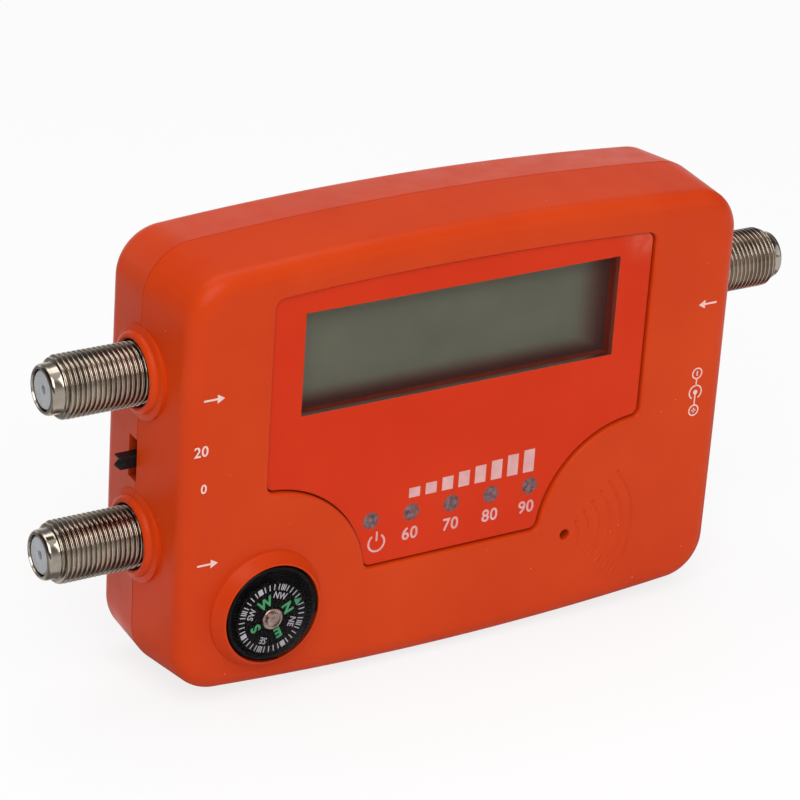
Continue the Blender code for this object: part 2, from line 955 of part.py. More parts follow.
def case_screws(finish):
    """Screws in the rear wells, each with a cross slot in its head."""
    seat = case_depth - case_well_depth + seat_gap
    top = seat + case_head_height
    head = (case_head_radius, case_head_height)
    shank = (case_screw_radius, seat - seam_depth + case_screw_bite)
    for i, (x, z) in enumerate(case_screw_places()):
        made = screw(f"case_screw_{i + 1}", (x, seat, z), "back", head, shank, finish, small_steps)
        for way, across, along in (("flat", drive_length, drive_width), ("up", drive_width, drive_length)):
            first = (x - across / 2, top - drive_depth, z - along / 2)
            second = (x + across / 2, top + overrun, z + along / 2)
            cut(made, block(f"drive_{way}_{i}", first, second))


def glass_span():
    """Left, bottom, right and top of the display glass."""
    return display_span(glass_margin, sill=glass_ledge)


def display(glass_finish, light_finish, holder_finish, strip_finish):
    """Display glass, light guide, their holder and the contact strip down to the board."""
    left, bottom, right, top = glass_span()
    glass_near = tray_back() + seat_gap
    glass_far = glass_near + glass_thickness
    glass = block("display_glass", (left, glass_near, bottom), (right, glass_far, top), glass_finish)
    ledge_depth = glass_near + glass_thickness / 2
    ledge = block(
        "glass_ledge",
        (left - overrun, ledge_depth, bottom - overrun),
        (right + overrun, glass_far + overrun, bottom + glass_ledge),
    )
    cut(glass, ledge)
    light_near = glass_far + seat_gap
    light_far = light_near + backlight_thickness
    light_bottom = bottom + glass_ledge + seat_gap
    block("display_backlight", (left, light_near, light_bottom), (right, light_far, top), light_finish)
    strip_left, strip_right = left + glass_margin, right - glass_margin
    block(
        "display_contact_strip",
        (strip_left, ledge_depth + seat_gap, bottom),
        (strip_right, part_seat(), bottom + glass_ledge - seat_gap),
        strip_finish,
    )
    room = seat_gap + holder_wall
    holder = block(
        "display_holder",
        (left - room, ledge_depth, bottom - room),
        (right + room, part_seat(), top + room),
        holder_finish,
    )
    pocket = block(
        "holder_pocket",
        (left - seat_gap, glass_near - overrun, bottom - seat_gap),
        (right + seat_gap, light_far + seat_gap, top + seat_gap),
    )
    slot_bottom = light_bottom + glass_margin
    light_slot = block(
        "holder_light_slot",
        (strip_left, light_far, slot_bottom),
        (strip_right, part_seat() + overrun, slot_bottom + holder_slot_height),
    )
    strip_slot = block(
        "holder_strip_slot",
        (strip_left - seat_gap, light_far, bottom - seat_gap),
        (strip_right + seat_gap, part_seat() + overrun, bottom + glass_ledge),
    )
    cut(holder, pocket, light_slot, strip_slot)


def leds(finish):
    """Indicator LEDs with domed heads, flanges and two legs each."""
    top = recess_depth + led_set_back
    foot = tray_back() + seat_gap + led_flange_height
    height = foot - top
    dome = [
        (led_radius * math.sin(angle), height - led_radius * (1 - math.cos(angle)))
        for angle in (0, math.pi / 6, math.pi / 3, math.pi / 2)
    ]
    profile = dome + [
        (led_radius, led_flange_height),
        (led_flange_radius, led_flange_height),
        (led_flange_radius, 0),
        (0, 0),
    ]
    half = led_leg_width / 2
    z = led_height()
    for name, x in led_places():
        led = turned(name, profile, (x, foot, z), "front", finish, fine_steps)
        legs = []
        for leg_x in (x - led_leg_spread, x + led_leg_spread):
            first = (leg_x - half, foot - bite, z - half)
            legs.append((first, (leg_x + half, part_seat(), z + half)))
        join(led, blocks(name + "_legs", legs))


def buzzer(finish):
    """Round buzzer that stands on the board behind its hole, with a port in its dished top."""
    height = part_seat() - tray_back() - seat_gap
    profile = [
        (0, height - buzzer_dish),
        (buzzer_port_radius, height - buzzer_dish),
        (buzzer_port_radius, height),
        (buzzer_radius - buzzer_edge, height),
        (buzzer_radius, height - buzzer_edge),
        (buzzer_radius, 0),
        (0, 0),
    ]
    x, z = buzzer_place()
    return turned("buzzer", profile, (x, part_seat(), z), "front", finish, small_steps + fine_steps)


def compass(cup_finish, lens_finish, card_finish, magnet_finish, metal_finish):
    """Compass capsule: cup, needle and clear dome, and the card with its magnet and cap."""
    x, z = compass_place()
    place = (x, 0, z)
    inner = capsule_radius - capsule_wall
    floor = capsule_floor - capsule_back_depth
    cup = [
        (0, floor),
        (inner, floor),
        (inner, capsule_rim),
        (capsule_radius, capsule_rim),
        (capsule_radius, -capsule_back_depth),
        (0, -capsule_back_depth),
    ]
    turned("compass_capsule", cup, place, "front", cup_finish)
    seat = capsule_rim + seat_gap
    hollow_radius = lens_radius - lens_thickness
    outside = dome(lens_radius, lens_rise, seat + lens_edge)
    inside = dome(hollow_radius, lens_edge + lens_rise - lens_thickness, seat)
    lens = outside + [(lens_radius, seat)] + inside[::-1]
    turned("compass_lens", lens, place, "front", lens_finish)
    needle_tip = card_front - card_thickness + seat_gap
    needle = [
        (0, needle_tip),
        (needle_radius, needle_tip - needle_radius),
        (needle_radius, floor + seat_gap),
        (0, floor + seat_gap),
    ]
    turned("compass_needle", needle, place, "front", metal_finish, fine_steps)
    axis = (x, 0, z - card_drop)
    card_back = card_front - card_thickness
    hole = cap_radius + seat_gap
    card = [(hole, card_front), (card_radius, card_front), (card_radius, card_back), (hole, card_back)]
    turned("compass_card", card, axis, "front", card_finish)
    magnet_top = card_back - seat_gap
    magnet_end = magnet_top - magnet_thickness
    magnet = [
        (magnet_bore, magnet_top),
        (magnet_radius, magnet_top),
        (magnet_radius, magnet_end),
        (magnet_bore, magnet_end),
    ]
    turned("compass_magnet", magnet, axis, "front", magnet_finish, small_steps)
    flange = card_front + seat_gap
    tip = card_front + cap_height
    cap_inner = cap_radius - cap_wall
    cap = [
        (0, tip),
        (cap_front_radius, tip),
        (cap_radius, flange + cap_flange_height),
        (cap_flange_radius, flange + cap_flange_height),
        (cap_flange_radius, flange),
        (cap_radius, flange),
        (cap_radius, card_back),
        (cap_inner, card_back),
        (cap_inner, flange),
        (0, flange),
    ]
    turned("compass_cap", cap, axis, "front", metal_finish, small_steps)


def dome(radius, rise, base):
    """(radius, height) points of a dome, from its top to its edge."""
    curve = (radius ** 2 + rise ** 2) / (2 * rise)
    reach = math.asin(radius / curve)
    angles = [reach * i / lens_steps for i in range(lens_steps + 1)]
    return [(curve * math.sin(angle), base + rise - curve * (1 - math.cos(angle))) for angle in angles]


def sockets(metal_finish, insulator_finish, contact_finish):
    """Three F-type sockets: a turned body, the insulator in its bore and the centre contact."""
    for name, way, sign, z in socket_places():
        inner_end = socket_inner_end(z)
        place = (sign * inner_end, seam_depth, z)
        nose = case_width / 2 + socket_proud - inner_end
        front = nose - insulator_set_back
        back = front - insulator_length
        socket_body(f"{name}_socket", place, way, sign, nose, back, metal_finish)
        core = contact_mouth_radius + seat_gap
        lip = front - contact_mouth_radius
        insulator = [
            (contact_mouth_radius, front),
            (insulator_radius, front),
            (insulator_radius, back),
            (insulator_neck_radius, back),
            (insulator_neck_radius, 0),
            (core, 0),
            (core, lip),
            (contact_mouth_radius, lip),
        ]
        turned(f"{name}_insulator", insulator, place, way, insulator_finish, small_steps)
        contact = [
            (0, back),
            (contact_radius, back),
            (contact_radius, lip - seat_gap),
            (contact_mouth_radius, lip - seat_gap),
            (contact_mouth_radius, 0),
            (contact_radius, 0),
            (contact_radius, -contact_tail),
            (0, -contact_tail),
        ]
        turned(f"{name}_contact", contact, place, way, contact_finish, fine_steps)


def socket_body(name, place, way, sign, nose, insulator_back, finish):
    """Nose, barrel and flange in one turned piece, with two prongs on the board."""
    shoulder = nose - nose_length
    bore = insulator_radius + seat_gap
    neck = insulator_neck_radius + seat_gap
    profile = [
        (bore, nose),
        (nose_radius - nose_edge / 2, nose),
        (nose_radius, nose - nose_edge),
        (nose_radius, shoulder),
        (thread_radius - nose_cone / 2, shoulder - nose_cone / 2),
        (thread_radius, shoulder - nose_cone * 2),
        (thread_radius, flange_thickness),
        (flange_radius, flange_thickness),
        (flange_radius, 0),
        (neck, 0),
        (neck, insulator_back - seat_gap),
        (bore, insulator_back - seat_gap),
    ]
    body = turned(name, profile, place, way, finish)
    inner_end, depth, z = place
    prongs = []
    for side in (-1, 1):
        prong_z = z + side * (flange_radius - prong_width)
        first = (inner_end - sign * prong_length, part_seat() - prong_width, prong_z - prong_width / 2)
        prongs.append((first, (inner_end + sign * bite, part_seat(), prong_z + prong_width / 2)))
    return join(body, blocks(name + "_prongs", prongs))


def switch_slot():
    """Cutter for the slot in the rear half's side, open at the seam."""
    inner = -(case_width / 2 - 2 * side_wall)
    outer = -(case_width / 2 + overrun)
    near, far = seam_depth - lip_height - overrun, seam_depth + slot_depth
    low, high = switch_height() - slot_below, switch_height() + slot_above
    return block("switch_slot", (inner, near, low), (outer, far, high))


def slide_switch(can_finish, base_finish, knob_finish):
    """Slide switch behind its slot: a folded can, a base with terminals, and the knob, whose
    wider foot stays inside the can."""
    near, far, centre = switch_depths()
    outer = switch_outer()
    inner = outer - switch_body_length
    middle_z = switch_height()
    low, high = middle_z - switch_half_height, middle_z + switch_half_height
    can = block("switch_can", (-outer, near, low), (-inner, far, high), can_finish)
    lip = outer - switch_wall
    cavity = block(
        "switch_cavity",
        (-lip, near + switch_wall, low + switch_wall),
        (-inner + overrun, far - switch_wall, high - switch_wall),
    )
    half_opening = knob_depth / 2 + running_gap
    opening_reach = knob_height / 2 + knob_travel + running_gap
    opening = block(
        "switch_opening",
        (-outer - overrun, centre - half_opening, middle_z - opening_reach),
        (-lip + overrun, centre + half_opening, middle_z + opening_reach),
    )
    cut(can, cavity, opening)
    room = switch_wall + seat_gap
    base_face = inner + switch_base_thickness
    base = block(
        "switch_base",
        (-base_face, near + room, low + room),
        (-inner, far - room, high - room),
        base_finish,
    )
    terminals = []
    half = terminal_width / 2
    for i in range(terminal_count):
        z = middle_z + (i - (terminal_count - 1) / 2) * terminal_pitch
        first = (-inner - bite, part_seat() - half, z - half)
        terminals.append((first, (-inner + terminal_length, part_seat(), z + half)))
    join(base, blocks("switch_terminals", terminals))
    foot_outer = lip - running_gap
    tip = case_width / 2 + knob_proud
    knob = block(
        "switch_knob",
        (-tip, centre - knob_depth / 2, middle_z - knob_height / 2),
        (-foot_outer + bite, centre + knob_depth / 2, middle_z + knob_height / 2),
        knob_finish,
    )
    foot_depth = switch_half_depth - switch_wall - running_gap
    foot_height = knob_height / 2 + knob_foot_margin
    foot = block(
        "knob_foot",
        (-foot_outer, centre - foot_depth, middle_z - foot_height),
        (-base_face - running_gap, centre + foot_depth, middle_z + foot_height),
    )
    join(knob, foot)
    wedge = [
        (-tip - overrun, middle_z + knob_notch + overrun),
        (-tip + knob_notch, middle_z),
        (-tip - overrun, middle_z - knob_notch - overrun),
    ]
    cut(knob, plate("knob_notch", [wedge], centre - knob_depth, centre + knob_depth))


def jack_axis():
    return part_seat() - jack_axis_height


def jack_level():
    return jack_share * case_height / 2


def jack_outer():
    near = part_seat() - jack_height
    return side_face(near, part_seat(), abs(jack_level()) + jack_half_width)


def jack_hole():
    start = (jack_outer(), jack_axis(), jack_level())
    length = case_width / 2 + overrun - jack_outer()
    return drum("jack_hole", jack_hole_radius, start, "right", length)


def power_socket(body_finish, pin_finish):
    """Barrel power socket on the board, with its centre pin and side spring."""
    outer = jack_outer()
    inner = outer - jack_length
    bore_end = outer - jack_bore_length
    axis = jack_axis()
    z = jack_level()
    body = block(
        "power_socket_body",
        (inner, part_seat() - jack_height, z - jack_half_width),
        (outer, part_seat(), z + jack_half_width),
        body_finish,
    )
    collar_radius = jack_hole_radius - seat_gap
    join(body, drum("jack_collar", collar_radius, (outer - bite, axis, z), "right", jack_collar + bite))
    bore = jack_bore_length + jack_collar + overrun
    cut(body, drum("jack_bore", jack_bore_radius, (bore_end, axis, z), "right", bore))
    root = jack_pin_root_radius + seat_gap
    length = jack_length - jack_bore_length + 2 * overrun
    cut(body, drum("jack_root", root, (inner - overrun, axis, z), "right", length, small_steps))
    root_length = jack_length - jack_bore_length
    tip = jack_length - jack_pin_set_back
    pin = [
        (0, tip),
        (jack_pin_radius / 2, tip),
        (jack_pin_radius, tip - jack_pin_radius / 2),
        (jack_pin_radius, root_length),
        (jack_pin_root_radius, root_length),
        (jack_pin_root_radius, 0),
        (0, 0),
    ]
    turned("power_socket_pin", pin, (inner, axis, z), "right", pin_finish, small_steps)
    half = jack_spring_width / 2
    rim = math.sqrt(jack_bore_radius ** 2 - half ** 2)
    spring_far = axis + rim - jack_spring_lift
    block(
        "power_socket_spring",
        (bore_end + seat_gap, spring_far - jack_spring_thickness, z - half),
        (outer - jack_pin_set_back, spring_far, z + half),
        pin_finish,
    )


def tuner_shield(finish):
    """Folded sheet can on the back of the board, open towards the board, with pressed ribs."""
    near = board_back() + seat_gap
    far = rear_floor() - tuner_back_gap
    side = board_half_width() - tuner_side_margin
    low = tuner_low_margin - board_half_height()
    high = board_half_height() - tuner_top_margin
    can = block("tuner_shield", (-side, near, low), (side, far, high), finish)
    centre = (low + high) / 2
    half = tuner_rib_width / 2
    reach = tuner_rib_share * (high - low) / 2
    for i in range(tuner_rib_count):
        x = (i - (tuner_rib_count - 1) / 2) * tuner_rib_pitch
        first = (x - half, far - tuner_sheet / 2, centre - reach)
        second = (x + half, far + tuner_rib_height, centre + reach)
        join(can, block(f"tuner_rib_{i}", first, second))
    hollow = block(
        "tuner_hollow",
        (-side + tuner_sheet, near - overrun, low + tuner_sheet),
        (side - tuner_sheet, far - tuner_sheet, high - tuner_sheet),
    )
    return cut(can, hollow)


def controller_chip(finish):
    """Controller with a row of leads along each long side."""
    middle_x, middle_z = board_place(chip_share, chip_rise)
    chip = block(
        "controller_chip",
        (middle_x - chip_half_width, part_seat() - chip_thickness, middle_z - chip_half_height),
        (middle_x + chip_half_width, part_seat(), middle_z + chip_half_height),
        finish,
    )
    half = chip_lead_width / 2
    leads = []
    for side in (-1, 1):
        inner = middle_z + side * (chip_half_height - bite)
        outer = middle_z + side * (chip_half_height + chip_lead_reach)
        for i in range(chip_lead_count):
            x = middle_x + (i - (chip_lead_count - 1) / 2) * chip_lead_pitch
            far = part_seat() - half / 2
            leads.append(((x - half, far - half, inner), (x + half, far, outer)))
    return join(chip, blocks("chip_leads", leads))


def voltage_regulator(finish):
    """Regulator with its cooling tab on the board."""
    x, z = board_place(regulator_share, regulator_rise)
    edge = z + regulator_half_height
    regulator = block(
        "voltage_regulator",
        (x - regulator_half_width, part_seat() - regulator_thickness, z - regulator_half_height),
        (x + regulator_half_width, part_seat(), edge),
        finish,
    )
    half = regulator_half_width - bite
    far = part_seat() - bite / 4
    tab = block(
        "regulator_tab",
        (x - half, far - regulator_tab_thickness, edge - bite),
        (x + half, far, edge + regulator_tab_reach),
    )
    return join(regulator, tab)


def crystal(finish):
    """Low oval can of the crystal."""
    half = crystal_half_length - crystal_radius
    x, z = board_place(crystal_share, crystal_rise)
    right = (x + half, z)
    left = (x - half, z)
    outline = arc(right, crystal_radius, -math.pi / 2, math.pi / 2, corner_steps)
    outline += arc(left, crystal_radius, math.pi / 2, 3 * math.pi / 2, corner_steps)
    return plate("crystal", [outline], part_seat() - crystal_height, part_seat(), finish)


def capacitors(finish):
    profile = [
        (0, capacitor_height),
        (capacitor_radius - capacitor_edge, capacitor_height),
        (capacitor_radius, capacitor_height - capacitor_edge),
        (capacitor_radius, 0),
        (0, 0),
    ]
    x, z = board_place(capacitor_share, capacitor_rise)
    for i, name in enumerate(("input_capacitor", "output_capacitor")):
        place = (x, part_seat(), z + i * capacitor_pitch)
        turned(name, profile, place, "front", finish, small_steps)


def power_coil(finish):
    """Small coil, its winding sunk between two flanges of its core."""
    profile = [
        (0, coil_height),
        (coil_radius, coil_height),
        (coil_radius, coil_height - coil_flange),
        (coil_core_radius, coil_height - coil_flange),
        (coil_core_radius, coil_flange),
        (coil_radius, coil_flange),
        (coil_radius, 0),
        (0, 0),
    ]
    x, z = board_place(coil_share, coil_rise)
    return turned("power_coil", profile, (x, part_seat(), z), "front", finish, small_steps)


shell_plastic = material("shell_plastic", (0.63, 0.058, 0.014), 0.38)
clear_panel = material("clear_panel", (0.62, 0.035, 0.012), 0.12, alpha=0.9)
display_face = material("display_face", (0.115, 0.112, 0.088), 0.3)
light_guide = material("light_guide", (0.8, 0.8, 0.76), 0.4)
holder_plastic = material("holder_plastic", (0.03, 0.03, 0.03), 0.5)
contact_rubber = material("contact_rubber", (0.05, 0.05, 0.06), 0.7)
board_laminate = material("board_laminate", (0.02, 0.13, 0.05), 0.45)
led_epoxy = material("led_epoxy", (0.35, 0.3, 0.28), 0.2, alpha=0.8)
black_plastic = material("black_plastic", (0.012, 0.011, 0.012), 0.25)
clear_dome = material("clear_dome", (0.9, 0.92, 0.95), 0.03, alpha=0.25)
card_ink = material("card_ink", (0.015, 0.014, 0.015), 0.5)
nickel = material("nickel", (0.55, 0.51, 0.46), 0.22, 1.0)
steel = material("steel", (0.45, 0.45, 0.46), 0.3, 1.0)
insulator_plastic = material("insulator_plastic", (0.62, 0.63, 0.65), 0.45)
gold_plate = material("gold_plate", (0.75, 0.55, 0.22), 0.25, 1.0)
tinned_sheet = material("tinned_sheet", (0.62, 0.63, 0.62), 0.28, 1.0)
magnet_steel = material("magnet_steel", (0.2, 0.2, 0.21), 0.35, 1.0)
chip_resin = material("chip_resin", (0.02, 0.02, 0.022), 0.55)
sleeve_plastic = material("sleeve_plastic", (0.02, 0.03, 0.08), 0.3)
ferrite = material("ferrite", (0.05, 0.05, 0.05), 0.6)

front_shell(shell_plastic)
rear_shell(shell_plastic)
window_panel(clear_panel)
display(display_face, light_guide, holder_plastic, contact_rubber)
main_board(board_laminate)
board_screws(steel)
case_screws(steel)
leds(led_epoxy)
buzzer(black_plastic)
compass(black_plastic, clear_dome, card_ink, magnet_steel, nickel)
sockets(nickel, insulator_plastic, gold_plate)
slide_switch(steel, chip_resin, black_plastic)
power_socket(black_plastic, nickel)
tuner_shield(tinned_sheet)
controller_chip(chip_resin)
crystal(steel)
voltage_regulator(chip_resin)
capacitors(sleeve_plastic)
power_coil(ferrite)
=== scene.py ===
"""Looks of the handheld satellite signal meter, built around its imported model.

Lengths are metres. Pieces made here are drawn in the case's own frame: x runs right, depth runs
back from the case's front face and z runs up from the case's middle.
"""

from math import asin, atan2, copysign, cos, pi, radians, sin, sqrt, tau

import bmesh
import bpy
from mathutils import Matrix, Vector

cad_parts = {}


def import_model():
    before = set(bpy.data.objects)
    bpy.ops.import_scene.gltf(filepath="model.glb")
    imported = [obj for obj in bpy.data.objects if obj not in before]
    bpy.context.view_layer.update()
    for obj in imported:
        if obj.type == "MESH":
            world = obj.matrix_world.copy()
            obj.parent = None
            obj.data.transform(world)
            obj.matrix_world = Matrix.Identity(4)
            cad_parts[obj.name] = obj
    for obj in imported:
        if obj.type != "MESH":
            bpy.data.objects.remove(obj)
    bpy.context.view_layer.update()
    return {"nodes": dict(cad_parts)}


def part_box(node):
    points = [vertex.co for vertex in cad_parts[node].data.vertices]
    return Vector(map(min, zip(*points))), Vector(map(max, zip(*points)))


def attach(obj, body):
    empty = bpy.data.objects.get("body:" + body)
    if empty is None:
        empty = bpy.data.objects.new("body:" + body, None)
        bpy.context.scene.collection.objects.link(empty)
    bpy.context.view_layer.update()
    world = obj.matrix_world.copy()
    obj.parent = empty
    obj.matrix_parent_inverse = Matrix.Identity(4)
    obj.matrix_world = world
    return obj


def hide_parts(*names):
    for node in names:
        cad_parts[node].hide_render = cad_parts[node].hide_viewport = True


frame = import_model()
nodes = frame["nodes"]

# Fits, cutters and edges
GAP = 0.0003
BITE = 0.0004
OVERRUN = 0.001
WELD = 5e-7
STAGGER = 0.37
EDGE_SHARE = 0.3
ROUND_STEPS = 96
POST_STEPS = 40
PILOT_STEPS = 36
SMOOTH_ANGLE = 32
PACKED_WELD = 2e-6

# Case
WIDTH = 0.0986
HEIGHT = 0.0714
DEPTH = 0.0249
SEAM = 0.0129
SEAM_GAP = 0.00004
SEAM_SOFT = 0.00016
CORNER = 0.0082
TOP_RISE = 0.00227
SIDE_RISE = 0.00026
FRONT_DRAFT = 0.0009
REAR_DRAFT = 0.00075
FRONT_ROUND = 0.003
REAR_ROUND = 0.0032
SIDE_WALL = 0.0022
FRONT_WALL = 0.002
REAR_WALL = 0.0022
INNER_EDGE = 0.0012
LIP_HEIGHT = 0.0012
LIP_THICK = 0.0008
INSIDE = WIDTH / 2 - 2 * SIDE_WALL

# Recess, window panel and display opening
PANEL_SHIFT = -0.0012
RECESS_HALF = 0.0333
RECESS_TOP = 0.0294
RECESS_BOTTOM = -0.0182
RECESS_DEPTH = 0.0019
RECESS_CORNER = 0.0015
RECESS_SOFT = 0.0005
RECESS_FLARE = 1.2
SHOULDER = 0.0177
SHOULDER_Z = -0.0199
TRAY_WALL = 0.0016
TRAY_BACK = 0.0035
PANEL_GAP = 0.0002
PANEL_SHOVE = 0.00013
PANEL_FRONT = 0.0006
PANEL_BACK = 0.0016
PANEL_EDGE = 0.00016
WINDOW = (-0.0292, 0.00915, 0.0259, 0.02535)
WINDOW_MARGIN = 0.0003
PANE_GAP = 0.00003
COLLAR_DEPTH = 0.001
COLLAR_WALL = 0.0012
LED_PLACES = [(-0.0160 + 0.00714 * i, -0.0104) for i in range(5)]
DOT_RADIUS = 0.0013

# Posts, tubes and holes
POST_RADIUS = 0.0025
TUBE_RADIUS = 0.0031
SCREW_PILOT = 0.0015
WELL_RADIUS = 0.0025
WELL_DEPTH = 0.006
WELL_FLARE = 0.0003
WELL_MOUTH = 1.5
WELL_CURVE = ((0.6, 0.1), (0.2, 0.4), (0, 1))
BOARD_BOSS_RADIUS = 0.0026
BOARD_PILOT = 0.0013
BOARD_BACK = 0.0153
BOARD_SCREW_LENGTH = 0.0055
JACK_HOLE = 0.0036
JACK_DEPTH = 0.008
SLOT_DEPTH = 0.0027
SLOT_BELOW = 0.0032
SLOT_ABOVE = 0.0036
KNOB_EDGE = 0.00012

# Sockets
THREAD_PITCH = 0.000794
THREAD_DEPTH = 0.00052
THREAD_RADIUS = 0.00475
THREAD_ROWS = 14
THREAD_ROOT = 0.12
THREAD_FLANK = 0.74
THREAD_RUNOUT = 0.8
THREAD_SMOOTH = 60
NOSE_RADIUS = 0.0038
NOSE_LENGTH = 0.0019
NOSE_EDGE = 0.0007
NOSE_LIP = 0.00012
NOSE_SINK = 0.0009
NOSE_FOOT = 0.0002
NOSE_FLARE = 0.0001
SOCKET_BORE = 0.0032
FLANGE_RADIUS = 0.0059
FLANGE_THICK = 0.0016
FLANGE_INNER = 0.0446
SOCKET_NECK = 0.0019
CORE_LENGTH = 0.012
CORE_RADIUS = 0.0029
CORE_NECK = 0.0016
CORE_BORE = 0.001
CORE_MOUTH = 0.0007
CORE_EDGE = 0.0002
PRONG_WIDTH = 0.0014
PRONG_LENGTH = 0.003
BOSS_RADIUS = 0.00715
BOSS_RIM = 0.0062
BOSS_HEIGHT = 0.0012
BOSS_ROUND = 0.00095
BOSS_MOUTH = 0.0004
BOSS_ROOT = 0.002
BOSS_HOLE = 0.00505

# Buzzer
SOUND_HOLE = 0.00088
SOUND_MOUTH = 0.00015
WAVE_COUNT = 6
WAVE_FIRST = 0.00265
WAVE_PITCH = 0.00205
WAVE_WIRE = 0.0003
WAVE_HEIGHT = 0.00017

# Compass
RING_BASE = 0.0093
RING_HEIGHT = 0.0023
RING_RIM = 0.0082
RING_ROUND = 0.0003
RING_FOOT = (
    (-0.00014, 0.00048), (-0.00004, 0.00042), (0, 0.0003), (0.00003, 0.00003), (0.0002, -0.0002),
)
RING_BORE = 0.0078
BORE_MOUTH = 0.00012
CUP_RADIUS = 0.0075
CUP_WALL = 0.0006
CUP_FLOOR = 0.0008
CUP_RIM = 0.0021
CUP_BACK = 0.0035
CUP_EDGE = 0.0001
LENS_RADIUS = 0.00725
LENS_THICK = 0.0004
LENS_RISE = 0.0006
LENS_EDGE = 0.0004
LENS_SMOOTH = 50
CARD_DROP = 0.0008
CARD_FRONT = -0.0020
CARD_THICK = 0.0004
CARD_RADIUS = 0.0058
CARD_HOLE = 0.00165
CARD_EDGE = 0.00005
CAP_RISE = 0.0008
CAP_SKIRT = 0.00135
CAP_WALL = 0.00025
CAP_CROWN = ((0, 0), (0.00098, 0.00001), (0.00108, 0.00006))
CAP_BRIM = ((0.00113, 0.00005), (0.00162, 0.00008), (0.0017, 0))

# Print on the compass card: radii, widths and angles from the card's north
NORTH = radians(24)
TICK_COUNT = 40
TICK_ENDS = (0.0046, 0.00555)
TICK_WIDTH = 0.00016
TRIPLE_WIDTH = 0.00017
TRIPLE_ANGLE = radians(3.4)
QUARTER_WIDTH = 0.00075
POINTER_TIP = 0.0055
POINTER_BASE = 0.0043
POINTER_HALF = 0.00062
LETTERS = (  # turn, radius, height, boldness and width
    ("letter", ("N", "E", "S", "W"), 0, 0.0029, 0.0017, 0.05, 1),
    ("pair", ("NE", "SE", "SW", "NW"), pi / 4, 0.0037, 0.00105, 0.015, 0.85),
)

# Print on the panel and the shell
INK = 0.00002
BOLD = 0.022
CAPITAL_SHARE = 0.71
LETTER_SPACE = 1.05
HALO_GAP = 0.00012
HALO_WIDTH = 0.0002
POWER_MARK = (-0.0148, -0.01433)
POWER_RADIUS = 0.0014
POWER_LINE = 0.00032
POWER_OPEN = (radians(125), radians(415))
POWER_STROKE = (0.0003, 0.0019)
NUMBERS = (("60", -0.0089), ("70", -0.0016), ("80", 0.0055), ("90", 0.0122))
NUMBER_Z = -0.01388
NUMBER_HEIGHT = 0.0021
BAR_FIRST, BAR_PITCH, BAR_WIDTH, BAR_FOOT = -0.00951, 0.00294, 0.00195, -0.00796
BAR_HEIGHTS = (0.0016, 0.00187, 0.0022, 0.00253, 0.00287, 0.0032, 0.00353, 0.0038)
HIGH_NUMBER = ("20", (-0.0459, 0.00705), 0.0017)
LOW_NUMBER = ("0", (-0.04525, 0.00105), 0.0015)
POLARITY_X, PLUS_Z, MINUS_Z = 0.0425, -0.0031, 0.0032
POLE_RADIUS, POLE_HALF, POLE_LINE = 0.00088, 0.0004, 0.00022
JACK_RADIUS, JACK_TOP, JACK_FOOT = 0.00115, 0.0022, -0.0021
JACK_OPEN = (radians(-60), radians(240))
ARROWS = (
    ("satellite", -0.0442, 0.0149, 1),
    ("antenna", -0.0442, -0.0113, 1),
    ("receiver", 0.0432, 0.0149, -1),
)
ARROW_TAIL, ARROW_NECK, ARROW_TIP, ARROW_HALF, ARROW_LINE = -0.0016, 0.0006, 0.0018, 0.0007, 0.0003

# Materials, stage, lights and camera
MIDDLE = (0.3, 0.7)
NOISE_ROUGHNESS = 0.55
PANE_CLOUD = 150
SPECK_RARITY = 0.72
# Painted glare: the panel's upper right corner, and how far its pale patches spread from it
GLARE_CORNER = (0.0315, 0, 0.0287)
GLARE_REACH = (0.0065, 0.0005)
SHADED_SIDE, SHADED_FOOT = 0.0062, 0.0032
FLOOR_SIZE, FLOOR_DROP = 6, 0.0001
FLOOR_GLOW, FLOOR_SHADE = 0.8, 0.15
SKY = ((0.1, 1.0), (0.3, 0.65), (0.45, 0.35), (0.7, 0.25), (0.86, 1.0))
SKY_SHADE, UNSEEN_SKY = 0.1, 0.35
LIGHT_TARGET = (0, 0, 0.03)
LIGHTS = (
    ("key", (-0.43, -0.68, 0.88), (0.9, 0.9), 9.7),
    ("fill", (0.8, -0.7, 0.5), (0.7, 0.7), 1.2),
    ("top", (0.0, 0.25, 1.0), (0.9, 0.5), 3),
)
CAMERA_PLACE = (-0.2646, -0.38865, 0.2487)
CAMERA_ANGLES = (-33.69, 24.19, 3.88)
CAMERA_LENS, SENSOR_WIDTH = 152.6, 36

BACK, FRONT, RIGHT = (0, 1, 0), (0, -1, 0), (1, 0, 0)
JOIN, CUT = "UNION", "DIFFERENCE"

rear_low, rear_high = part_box("rear_shell")
FRONT_Y = rear_high.y - DEPTH
MIDDLE_Z = (rear_low.z + rear_high.z) / 2
ORIGIN = Vector((0, FRONT_Y, MIDDLE_Z))


def centre_of(node):
    """Middle (x, z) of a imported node, in the case's frame."""
    low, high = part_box(node)
    return (low.x + high.x) / 2, (low.z + high.z) / 2 - MIDDLE_Z


COMPASS = centre_of("compass_capsule")
BUZZER = centre_of("buzzer")
JACK_Z = centre_of("power_socket_body")[1]
SWITCH_Z = centre_of("switch_knob")[1]
SOCKETS = [
    (name, way, centre_of(f"{name}_insulator")[1])
    for name, way in (("satellite", -1), ("antenna", -1), ("receiver", 1))
]
SCREW_X, SCREW_Z = (abs(value) for value in centre_of("case_screw_4"))
SCREWS = [(x, z) for x in (-SCREW_X, SCREW_X) for z in (-SCREW_Z, SCREW_Z)]


# Materials

def srgb(code):
    """Linear colour from a six-digit hex code."""
    values = [int(code[i:i + 2], 16) / 255 for i in (0, 2, 4)]
    return [v / 12.92 if v <= 0.04045 else ((v + 0.055) / 1.055) ** 2.4 for v in values]


